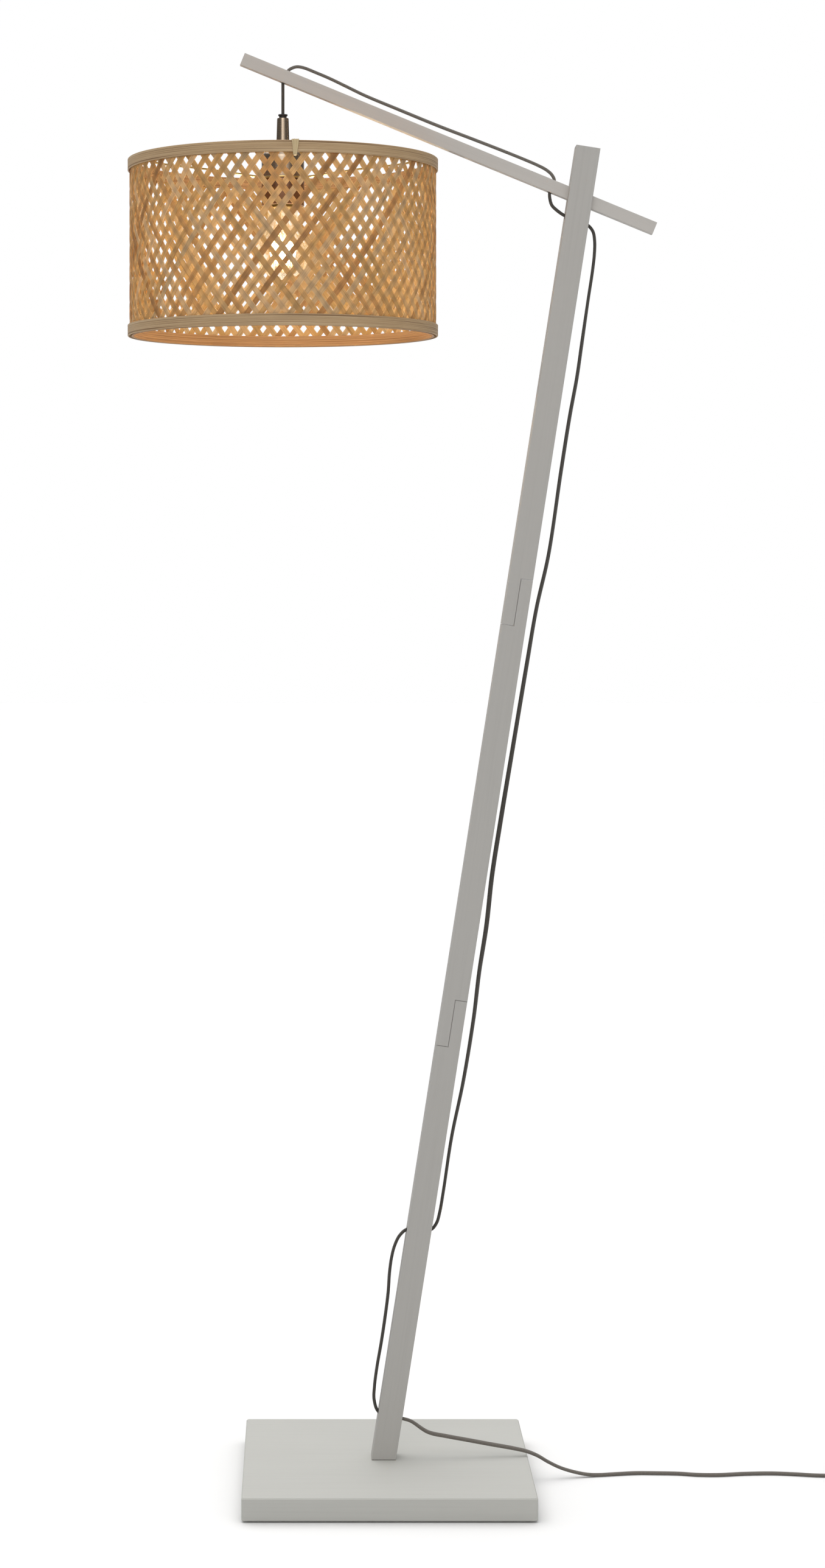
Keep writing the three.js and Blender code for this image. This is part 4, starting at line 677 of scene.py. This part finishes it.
def coil_points(centre, low_layer):
    """The coil's turns: in on the floor, up a layer in the half turn where they reverse, and out again."""
    points = []
    for i in range(round(2 * COIL_TURNS_PER_LAYER * COIL_STEPS_PER_TURN) + 1):
        turns = i / COIL_STEPS_PER_TURN
        from_reversal = turns - COIL_TURNS_PER_LAYER
        radius = coil_radius(abs(from_reversal))
        climb = smoothstep(from_reversal, -HALF_REVERSAL_TURNS, HALF_REVERSAL_TURNS)
        angle = turns * TURN - math.pi / 2
        points.append(Vector((centre.x + radius * math.cos(angle), centre.y + radius * math.sin(angle),
                              low_layer + climb * (CORD_WIDTH + COIL_TURN_GAP))))
    return points


def make_lead(material):
    """The lead from the pole's foot to the plug: over the base, through the switch, round the coil."""
    start = [in_hole(FOOT_HOLE, at) for at in (CORD_END_GAP, HALF_WIDTH, HALF_WIDTH + 2 * CORD_WIDTH)]
    lead = [Vector((POLE_FOOT.x, POLE_FOOT.y, 0)) + Vector(point) * MM for point in LEAD]
    cover_low, cover_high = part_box("switch_cover")
    _, coil_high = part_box("cord_coil")
    plug_low, plug_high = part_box("plug_body")
    middle_y = (cover_low.y + cover_high.y) / 2
    inlet = Vector((cover_low.x, middle_y, SWITCH_CORD_HEIGHT))
    outlet = Vector((cover_high.x, middle_y, SWITCH_CORD_HEIGHT))
    low_layer = TIE_THICKNESS + TIE_FLOOR_GAP + CORD_WIDTH / 2
    outer = coil_radius(COIL_TURNS_PER_LAYER)
    centre = Vector((coil_high.x - outer - CORD_THICKNESS / 2 + COIL_END_GAP, middle_y + outer, 0))
    coil = coil_points(centre, low_layer)
    aside = Vector((CORD_WIDTH, 0, 0))
    near, off = coil[0] - aside, coil[-1] - aside
    rear = Vector((plug_high.x + 2 * CORD_END_GAP, coil[-1].y, (plug_low.z + plug_high.z) / 2))
    first = smooth_route([*start, *lead, inlet - aside, inlet, outlet, outlet + aside, outlet.lerp(near, 0.5),
                          near, coil[0]], CORD_STEP)
    last = smooth_route([coil[-1], off, off.lerp(rear, 0.5), rear + aside, rear], CORD_STEP)
    points = [*first[:-1], *coil, *last[1:]]
    along = runs(points)
    coil_start = runs(first)[-1]
    coil_end = coil_start + runs(coil)[-1]
    facing = []
    for run, tangent in zip(along, tangents(points)):
        level = UP.cross(tangent).normalized()
        wound = smoothstep(run - coil_start, *LEAD_STANDS_UP)
        wound *= 1 - smoothstep(run - coil_end, *LEAD_LIES_DOWN)
        twist = LEAD_TWIST_OVER_BASE * smoothstep(run, *LEAD_TWIST_COMES)
        twist += (LEAD_TWIST_ON_FLOOR - LEAD_TWIST_OVER_BASE) * smoothstep(run, *LEAD_TWIST_CHANGES)
        twist *= 1 - smoothstep(run, *LEAD_TWIST_GOES)
        turned = level * math.cos(twist) + tangent.cross(level) * math.sin(twist)
        facing.append(turned.lerp(UP, wound))
    nodes = ["cord_lead", "cord_tail_in", "cord_coil", "cord_tail_out"]
    piece = swept("lead", nodes, points, cord_section(), facing, "stand", material)


# Stage

FLOOR_SIDE = 40
WORLD_LEVEL = 0.5
WALL_LEVEL = 0.14

# How much brighter the camera sees the open floor, and the reach and the least openness of the painted shadow
# on it
FLOOR_LIFT = 0.155
SHADOW_REACH = 0.12
SHADOW_OPENNESS = 0.55


def make_stage():
    """A plain white floor that the camera sees a little brighter than it lights the lamp, the extra
    brightness fading near the lamp as a painted contact shadow.
    """
    mesh = bpy.data.meshes.new("floor")
    side = FLOOR_SIDE / 2
    corners = [(-side, -side, 0), (side, -side, 0), (side, side, 0), (-side, side, 0)]
    mesh.from_pydata(corners, [], [(0, 1, 2, 3)])
    floor = linked("floor", mesh)
    material, tree, shader = material_of("floor")
    seen = node(tree, "ShaderNodeLightPath").outputs["Is Camera Ray"]
    give(tree, shader, {"Base Color": mixed(tree, seen, grey(0.72), grey(0.9)), "Roughness": 0.9,
                        "Specular IOR Level": 0.1})
    # Near the lamp the camera's extra brightness fades by ambient occlusion: a painted contact shadow
    open_sky = node(tree, "ShaderNodeAmbientOcclusion", Distance=SHADOW_REACH, samples=12).outputs["AO"]
    lift_with_painted_shadow = node(tree, "ShaderNodeMapRange", Value=open_sky,
                **{"From Min": SHADOW_OPENNESS, "To Max": FLOOR_LIFT})
    strength = combined(tree, "ShaderNodeMath", seen, lift_with_painted_shadow.outputs["Result"], operation="MULTIPLY")
    lift = node(tree, "ShaderNodeEmission", Color=WHITE, Strength=strength)
    both = combined(tree, "ShaderNodeAddShader", shader.outputs["BSDF"], lift.outputs["Emission"])
    tree.links.new(both, tree.nodes["Material Output"].inputs["Surface"])
    mesh.materials.append(material)


def make_world():
    """White all round. The camera and glass see pure white, and metal sees darker walls at the sides."""
    world = bpy.data.worlds.new("studio")
    bpy.context.scene.world = world
    world.use_nodes = True
    tree = world.node_tree
    ray = node(tree, "ShaderNodeLightPath").outputs
    around = node(tree, "ShaderNodeTexCoord").outputs["Generated"]
    direction = node(tree, "ShaderNodeSeparateXYZ", Vector=around)
    sideways = combined(tree, "ShaderNodeMath", direction.outputs["X"], operation="ABSOLUTE")
    walls = ramp(tree, sideways, [(0.15, WHITE), (0.55, grey(WALL_LEVEL))])
    lit = mixed(tree, ray["Is Glossy Ray"], grey(WORLD_LEVEL), walls)
    seen = combined(tree, "ShaderNodeMath", ray["Is Camera Ray"], ray["Is Transmission Ray"],
                    operation="MAXIMUM")
    put(tree, tree.nodes["Background"].inputs["Color"], mixed(tree, seen, lit, WHITE))


def light_of(name, kind, energy, place=(0, 0, 0), direction=(0, 0, -1), color=(1, 1, 1)):
    data = bpy.data.lights.new(name, kind)
    data.energy = energy
    data.color = color
    light = linked(name, data)
    light.location = place
    light.rotation_euler = Vector(direction).to_track_quat("-Z", "Y").to_euler()
    return data


def make_lights():
    """Soft light from above and behind, a warm fill and a small key from the front, and the bulb's own."""
    overhead = light_of("overhead", "SUN", 1.42, direction=(0.18, -0.38, -1))
    overhead.angle = math.radians(70)
    fill = light_of("fill", "SUN", 0.3, direction=(-0.15, 0.95, -0.4), color=(1, 0.965, 0.91))
    fill.angle = math.radians(60)
    place, target = Vector((-0.4, -2.1, 2.5)), Vector((0.1, 0, 1.4))
    key = light_of("key", "AREA", 6.5, place, target - place)
    key.size = 1.2
    low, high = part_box("bulb_filament")
    bulb = light_of("bulb light", "POINT", 1.85, (low + high) / 2, color=(1.0, 0.81, 0.52))
    bulb.shadow_soft_size = 12 * MM


# Solids that keep their shape

def dress_nodes(names, material):
    for name in names:
        NODES[name].data.materials.clear()
        NODES[name].data.materials.append(material)


def dress_stand():
    pole, arm = turned_in_plane(0, 1, POLE_LEAN), turned_in_plane(1, 0, ARM_SLOPE)
    # The pole, the arm and the base have one paint; their three colours are painted light and shade, the pole
    # darker and the arm and base lighter
    dress_nodes(["pole_lower", "pole_middle", "pole_upper"],
                painted_bamboo("painted bamboo pole in painted shade", pole, srgb(186, 184, 180)))
    dress_nodes(["arm"], painted_bamboo("painted bamboo arm in painted light", arm, srgb(201, 197, 192)))
    dress_nodes(["base_plate"], painted_bamboo("painted bamboo base in painted light", Vector((1, 0, 0)), srgb(199, 199, 194)))
    zinc = metal_material("zinc-plated steel", srgb(188, 188, 184), 0.38, brushed=False)
    dress_nodes([name for name in NODES if name.startswith(("foot_screw", "lap_screw", "arm_screw"))
                 or name in ("foot_plate", "threaded_nipple")], zinc)
    brass = metal_material("plain brass", srgb(196, 164, 96), 0.35, brushed=False)
    dress_nodes([name for name in NODES if name.startswith(("foot_insert", "lap_insert"))
                 or name in ("thread_shell", "centre_contact")], brass)
    dress_nodes([name for name in NODES if name.startswith("pad_")], felt_material())


def dress_electric_parts(nickel, black):
    dress_nodes(["lampholder_core", "coil_tie", "switch_button"], black)
    dress_nodes(["switch_floor", "switch_cover", "plug_body"],
                plastic_material("grey plastic", srgb(92, 90, 87), 0.5))
    dress_nodes(["plug_pin_back", "plug_pin_front"], nickel)


def reach_of(node_name):
    """A turned solid's lowest and highest point and its radius."""
    low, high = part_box(node_name)
    return low.z, high.z, (high.x - low.x) / 2


# Pendant fitting

HOLDER_WALL = 1.2 * MM
NIPPLE_BORE = 5.1 * MM


def make_fitting(nickel, black):
    make_grip(black)
    make_cone(nickel)
    make_cup(nickel)
    # The skirt's nickel is a darker, browner copy of the cup's: painted shade inside the shade and a painted
    # reflection of the warm weave
    make_skirt(metal_material("nickel with painted shade and reflection", srgb(140, 112, 94), 0.3))


def make_grip(material):
    low, high, _ = reach_of("cord_grip")
    brim, neck, bore, mouth = 5.2 * MM, 4.2 * MM, 3.2 * MM, 4.6 * MM
    brim_height, mouth_depth, ease = 1.6 * MM, 3.8 * MM, 0.4 * MM
    under_brim = high - brim_height
    lathe("grip", "cord_grip", eased([
        (bore, low), (neck, low), (neck, under_brim), (brim, under_brim), (brim, high), (mouth, high),
        (bore, high - mouth_depth)], ease), "grip", material)


def make_cone(material):
    low, high, _ = reach_of("neck_cone")
    bottom, waist, top, bore = 7.5 * MM, 7.1 * MM, 6.25 * MM, 4.5 * MM
    wall, flare, ease = 1.3 * MM, 0.2 * MM, 0.6 * MM
    waist_depth, flare_depth, bore_depth, inside_depth = 23 * MM, 2 * MM, 6.3 * MM, 6.6 * MM
    lathe("cone", "neck_cone", eased([
        (bottom - wall, low), (bottom, low), (waist, high - waist_depth), (top + flare, high - flare_depth),
        (top, high), (bore, high), (bore, high - bore_depth), (NIPPLE_BORE, high - inside_depth)], ease),
        "pendant", material)


def make_cup(material):
    low, high, radius = reach_of("lampholder_cup")
    collar, bend, bend_depth = 7.5 * MM, 9 * MM, 9.6 * MM
    collar_foot, collar_height = 8.2 * MM, 0.5 * MM
    middle = (radius - bend, high - bend_depth)
    outside, inside = (arc(middle, size, 78, 0, 8) for size in (bend, bend - HOLDER_WALL))
    under = high - HOLDER_WALL
    lathe("cup", "lampholder_cup", [
        (radius - HOLDER_WALL, low), (radius, low), *reversed(outside), (collar_foot, high - collar_height),
        (collar, high), (NIPPLE_BORE, high), (NIPPLE_BORE, under), (collar, under), *inside],
        "pendant", material)


def make_skirt(material):
    low, high, radius = reach_of("lampholder_skirt")
    lip, groove, ease = 19 * MM, 0.5 * MM, 0.5 * MM
    groove_foot, groove_middle, groove_top = high - 3 * MM, high - 2.6 * MM, high - 2.2 * MM
    inner, floor = radius - HOLDER_WALL, low + HOLDER_WALL
    lathe("skirt", "lampholder_skirt", eased([
        (lip, low), (radius, low), (radius, groove_foot), (radius - groove, groove_middle),
        (radius, groove_top), (radius, high), (inner, high), (inner, floor), (lip, floor)], ease),
        "pendant", material)


# Bulb

GLASS_WALL = 0.8 * MM
BELLY_END = 28
NECK_STEPS = 9
NECK_PULL = 0.55 * 0.9
CAP_RIDGES = 7
CAP_RIDGE_DEPTH = 0.5 * MM
FILAMENT_BENDS = 14


def bulb_outline(shrink, cap_low):
    """The glass from its lowest point up to its throat: a round belly and a curve into the neck."""
    low, high, radius = reach_of("bulb_glass")
    outline = arc((0, low + radius), radius - shrink, -90, BELLY_END, 22)
    neck, throat = 16.5 * MM - shrink, 11 * MM - shrink
    top, throat_foot = cap_low - 1.0 * MM - shrink, cap_low - 0.4 * MM - shrink
    start, end = outline[-1], (neck, top)
    pull = NECK_PULL * (top - start[1])
    slope = math.radians(BELLY_END)
    leaving = (start[0] - pull * math.sin(slope), start[1] + pull * math.cos(slope))
    coming = (neck, top - pull)
    for i in range(1, NECK_STEPS):
        t = i / NECK_STEPS
        shares = ((1 - t) ** 3, 3 * (1 - t) ** 2 * t, 3 * (1 - t) * t * t, t ** 3)
        outline.append(tuple(sum(share * at for share, at in zip(shares, ends))
                             for ends in zip(start, leaving, coming, end)))
    return [*outline, end, (throat, throat_foot), (throat, high)]


def make_bulb():
    glass = glass_material()
    low, high, radius = reach_of("bulb_cap")
    lathe("bulb", "bulb_glass", [*bulb_outline(0, low), *reversed(bulb_outline(GLASS_WALL, low))],
          "pendant", glass, sides=64)
    wall, ridges_foot, ridges_height = 0.7 * MM, 1.5 * MM, 17 * MM
    contact, bore, cone_height, contact_height = 4 * MM, 1 * MM, 5 * MM, 2.5 * MM
    ridges = []
    steps = CAP_RIDGES * 6
    for i in range(steps + 1):
        share = i / steps
        dip = CAP_RIDGE_DEPTH * (0.5 - 0.5 * math.cos(TURN * share * CAP_RIDGES))
        ridges.append((radius - dip, low + ridges_foot + share * ridges_height))
    shoulder = high - cone_height
    lathe("bulb_base", "bulb_cap", [
        (radius - wall, low), (radius, low), *ridges, (radius, shoulder), (contact, high - contact_height),
        (contact, high), (bore, high), (bore, shoulder - wall), (radius - wall, shoulder - wall)],
        "pendant", metal_material("bulb cap", srgb(200, 176, 120), 0.3), sides=64)
    make_stem(glass)
    make_filament()


def make_stem(glass):
    """The glass stem: a tip and a rod below, opening into a flare at the cap."""
    low, high, _ = reach_of("bulb_stem")
    outline = [(2.2, low + 0.2 * MM), (3, low + 1.5 * MM), (2, low + 3.2 * MM), (2, high - 14 * MM),
               (3.4, high - 9 * MM), (6.4, high - 5 * MM), (9.8, high - 3.5 * MM), (9.8, high)]
    lathe("stem", "bulb_stem", [(0, low), *((radius * MM, height) for radius, height in outline), (0, high)],
          "pendant", glass, sides=32)


def make_filament():
    """A cage of glowing filament round the stem, up and down between two rings of hooks."""
    low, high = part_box("bulb_filament")
    wire, step, inset = 0.35 * MM, 1.6 * MM, 0.8 * MM
    ring = (high.y - low.y) / 2 - inset
    top_ring = 0.62 * ring
    top, bottom = high.z - 1.5 * MM, low.z + 1 * MM
    zigzag = []
    for i in range(2 * FILAMENT_BENDS):
        radius, height = (ring, bottom) if i % 2 else (top_ring, top)
        zigzag.append(about_axis(radius, TURN * i / (2 * FILAMENT_BENDS), height))
    points = smooth_route(zigzag, step)
    facing = [Vector((p.x - PIVOT.x, p.y - PIVOT.y, 0)).normalized() for p in points]
    swept("filament", ["bulb_filament"], points, circle(wire, 8), facing, "pendant",
          filament_material())


# Woven wall

STRIPS = 68
STRIP_WIDTH = 6.4 * MM
STRIP_THICKNESS = 0.6 * MM
WALL_DEPTH = 0.8 * MM
WEAVE_AMPLITUDE = 0.42 * MM
HALF_ROW = 10.4 * MM
STEPS_PER_ROW = 4
WANDER_LENGTH = 31 * MM
TEXTURE_SHIFT = 0.011
STRIP_TONES = [
    ((214, 183, 134), 6), ((208, 174, 120), 5), ((216, 190, 150), 3), ((208, 184, 146), 2),
    ((200, 162, 110), 3), ((190, 149, 100), 1),
]


def strip_tone(chance):
    palette = [color for color, weight in STRIP_TONES for _ in range(weight)]
    red, green, blue = chance.choice(palette)
    shift = chance.uniform(0.95, 1.05)
    return srgb(red * shift, green * shift, blue * shift)[:3]


def make_weave(material):
    """Two sets of split strips that cross and pass over and under each other two by two."""
    chance = random.Random(11)
    wall = reach_of("woven_wall")
    for name, sign in (("strips_rising", 1), ("strips_falling", -1)):
        verts, faces, uvs, tones = [], [], [], []
        for index in range(STRIPS):
            add_strip(wall, index, sign, chance, verts, faces, uvs, tones)
        mesh = mesh_from(name, verts, faces, uvs, tones)
        new_piece(name, ["woven_wall"], mesh, "pendant", material, smooth=False)


def add_strip(wall, index, sign, chance, verts, faces, uvs, tones):
    """One slanted strip from below the lower edge to above the upper one, cut level at both."""
    floor, ceiling, outer = wall
    middle, height = outer - WALL_DEPTH, ceiling - floor
    pitch = TURN * middle / STRIPS
    slope = (pitch / 2) / HALF_ROW
    start = index * pitch + chance.uniform(-0.5, 0.5) * MM
    width = STRIP_WIDTH * chance.uniform(0.9, 1.06)
    tone = strip_tone(chance)
    lean = slope * chance.uniform(0.985, 1.015)
    wander, phase = chance.uniform(0, 0.5) * MM, chance.uniform(0, TURN)
    length = height + 2 * width
    samples = round(length / HALF_ROW * STEPS_PER_ROW)
    slant = math.hypot(slope, 1)
    run = chance.uniform(0, 5)
    first = len(verts)
    for k in range(samples + 1):
        z = -width + length * k / samples
        x = start + sign * lean * z + wander * math.sin(z / WANDER_LENGTH + phase)
        wave = math.cos(TURN * (z / HALF_ROW - 0.5) / 4)
        offset = sign * WEAVE_AMPLITUDE * max(-1, min(1, 1.6 * wave))
        for across, out in ((-0.5, 0.5), (0.5, 0.5), (0.5, -0.5), (-0.5, -0.5)):
            px = x + across * width / slant
            pz = z - sign * across * width * slope / slant
            pz = max(SEAT_GAP, min(height - SEAT_GAP, pz))
            radius = middle + offset + out * STRIP_THICKNESS
            verts.append(about_axis(radius, px / middle - math.pi / 2, floor + pz))
            uvs.append((run + z * slant, (across + 0.5) * width + index * TEXTURE_SHIFT))
            tones.append((*tone, across + 0.5))
    last = first + samples * 4
    for a in range(first, last, 4):
        for j in range(4):
            n = (j + 1) % 4
            faces.append((a + j, a + 4 + j, a + 4 + n, a + n))
    faces.append((first, first + 1, first + 2, first + 3))
    faces.append((last + 3, last + 2, last + 1, last))


# Hoops, spider and lashing

OUTER_HOOP_THICKNESS = 1.5 * MM
INNER_HOOP_THICKNESS = 2.4 * MM
HOOP_GROOVES = 5
HOOP_GROOVE_DEPTH = 0.3 * MM
HOOP_EASE = 0.5 * MM
WIRE_RADIUS = 1.2 * MM
LASHING_ANGLE = math.radians(-85.2)
LASHING_GAP = 0.35 * MM
LASHING_BELOW_HOOP = 2.6 * MM
LASHING_THICKNESS = 0.75 * MM
LASHING_WIDTH = 2.0 * MM
LASHING_STEP = 1.5 * MM
LASHING_TEXTURE_SHIFT = 0.02

# The lashing's turns: how far each is from the middle one and raised, and how they spread and drift
LASHING_TURNS = [(-1.5, 0), (-0.5, 0.3 * MM), (0.5, 0.1 * MM), (1.5, 0.2 * MM)]
LASHING_PITCH_BELOW = 0.75 * MM
LASHING_PITCH_GAIN = 1.15 * MM
LASHING_DRIFT_BELOW = 0.4 * MM
LASHING_SECTION = [(-0.5, 0), (0.5, 0), (0.5, 0.45), (0.28, 0.9), (0, 1), (-0.28, 0.9), (-0.5, 0.45)]


def make_hoops(outside_finish, inside_finish):
    for end in ("upper", "lower"):
        make_hoop(f"{end}_outer", OUTER_HOOP_THICKNESS, True, outside_finish)
        make_hoop(f"{end}_inner", INNER_HOOP_THICKNESS, False, inside_finish)


def make_hoop(name, thickness, outside, material):
    """A slat bent round, with shallow grooves between its fibres on the face that shows."""
    bottom, top, outer = reach_of(f"{name}_hoop")
    inner = outer - thickness
    face = []
    count = HOOP_GROOVES * 4
    for i in range(count + 1):
        share = i / count
        dip = HOOP_GROOVE_DEPTH * max(0, math.cos(TURN * share * HOOP_GROOVES)) ** 3 if 0 < i < count else 0
        face.append((dip, bottom + HOOP_EASE + (top - bottom - 2 * HOOP_EASE) * share))
    if outside:
        shown = [(outer - dip, z) for dip, z in face]
        shoulder = outer - HOOP_EASE
        profile = [(inner, bottom), (shoulder, bottom), *shown, (shoulder, top), (inner, top)]
    else:
        shown = [(inner + dip, z) for dip, z in reversed(face)]
        shoulder = inner + HOOP_EASE
        profile = [(shoulder, bottom), (outer, bottom), (outer, top), (shoulder, top), *shown]
    lathe(f"{name}_band", f"{name}_hoop", profile, "pendant", material, sides=256)


def make_spider(material):
    """A ring between the lampholder's cup and skirt, and three wires up to the inner hoop."""
    ring_low, ring_high = reach_of("lampholder_skirt")[1] + SEAT_GAP, reach_of("lampholder_cup")[0] - SEAT_GAP
    inner, outer, ease = 21 * MM, 25.2 * MM, 0.5 * MM
    root_inset, foot_gap, tip_height = 1 * MM, 2.1 * MM, 7 * MM
    corners = [(inner, ring_low), (outer, ring_low), (outer, ring_high), (inner, ring_high)]
    lathe("spider_ring", "shade_spider", eased(corners, ease), "pendant", material)
    hoop_low, _, hoop_outer = reach_of("upper_inner_hoop")
    foot = hoop_outer - INNER_HOOP_THICKNESS - foot_gap
    bottom = hoop_low + WIRE_RADIUS
    start, middle = outer - root_inset, (ring_low + ring_high) / 2
    flat = [(start, middle), ((start + foot) / 2, (middle + bottom) / 2),
            (foot - 2 * WIRE_RADIUS, bottom - WIRE_RADIUS / 2), (foot, bottom + WIRE_RADIUS),
            (foot, bottom + tip_height)]
    for i, angle in enumerate((90, 210, 330)):
        turn = Matrix.Rotation(math.radians(angle), 4, "Z")
        route = [about_axis(0, 0, 0) + turn @ Vector((r, 0, z)) for r, z in flat]
        points = smooth_route(route, 2 * MM)
        swept(f"spider_wire_{i + 1}", ["shade_spider"], points, circle(WIRE_RADIUS, 12),
              [turn @ DEPTH] * len(points), "pendant", material)


def lashing_loop():
    """One turn's path round both hoops, as (radius, height) pairs."""
    bottom, top, outer = reach_of("upper_outer_hoop")
    inner = reach_of("upper_inner_hoop")[2] - INNER_HOOP_THICKNESS - LASHING_GAP
    bottom, top, outer = bottom - LASHING_BELOW_HOOP, top + LASHING_GAP, outer + LASHING_GAP
    corners = [(outer, bottom), (outer, top), (inner, top), (inner, bottom)]
    loop = []
    for a, b in zip(corners, [*corners[1:], corners[0]]):
        for k in range(6):
            t = (k + 0.5) / 6
            loop.append((a[0] + (b[0] - a[0]) * t, a[1] + (b[1] - a[1]) * t))
    return loop, bottom, top


def make_lashing(material):
    """Four turns of split bamboo round both hoops, spread on the rim and drawn together below it."""
    out = Vector((math.cos(LASHING_ANGLE), math.sin(LASHING_ANGLE), 0))
    along = Vector((-out.y, out.x, 0))
    centre = about_axis(0, 0, 0)
    loop, bottom, top = lashing_loop()
    count = len(loop)
    verts, faces, uvs = [], [], []
    for turn_index, raised in LASHING_TURNS:
        faces += tube_faces(len(verts), count, len(LASHING_SECTION), closed=True)
        run = 0
        for k, (r, z) in enumerate(loop):
            before, after = loop[k - 1], loop[(k + 1) % count]
            tangent = Vector((after[0] - before[0], after[1] - before[1])).normalized()
            normal = Vector((tangent.y, -tangent.x))
            rise = (z - bottom) / (top - bottom)
            shift = turn_index * (LASHING_PITCH_BELOW + LASHING_PITCH_GAIN * rise)
            shift -= LASHING_DRIFT_BELOW * (1 - rise) ** 2
            run += LASHING_STEP
            for across, up in LASHING_SECTION:
                grow = raised + up * LASHING_THICKNESS
                place = centre + out * (r + normal.x * grow) + along * (shift + across * LASHING_WIDTH)
                verts.append(Vector((place.x, place.y, z + normal.y * grow)))
                uvs.append((run, across * LASHING_WIDTH + turn_index * LASHING_TEXTURE_SHIFT))
    mesh = mesh_from("lashing", verts, faces, uvs)
    face_out(mesh)
    new_piece("lashing", ["rim_lashing"], mesh, "pendant", material, smooth=False)


bpy.context.scene.view_settings.view_transform = "Standard"
make_camera()
# The lead and the run over the arm get the braid lightened as painted light; the other stretches get it
# darkened as painted shade
make_cords(cord_material("grey textile cord", 1.05), cord_material("grey textile cord in painted shade", 0.68))
make_stage()
make_world()
make_lights()
dress_stand()
nickel_finish = metal_material("brushed nickel", srgb(176, 158, 138), 0.28)
black_finish = plastic_material("black plastic", srgb(30, 29, 28), 0.5)
dress_electric_parts(nickel_finish, black_finish)
make_fitting(nickel_finish, black_finish)
make_bulb()
make_weave(weave_material())
make_hoops(hoop_material("washed bamboo hoop", srgb(122, 93, 64), srgb(190, 162, 125), srgb(214, 193, 160)),
           hoop_material("plain bamboo hoop", srgb(138, 98, 60), srgb(174, 134, 92), srgb(200, 162, 118)))
make_spider(metal_material("gilt steel wire", srgb(214, 186, 128), 0.3, brushed=False))
make_lashing(hoop_material("lashing bamboo", srgb(150, 126, 88), srgb(206, 186, 146), srgb(226, 210, 176)))
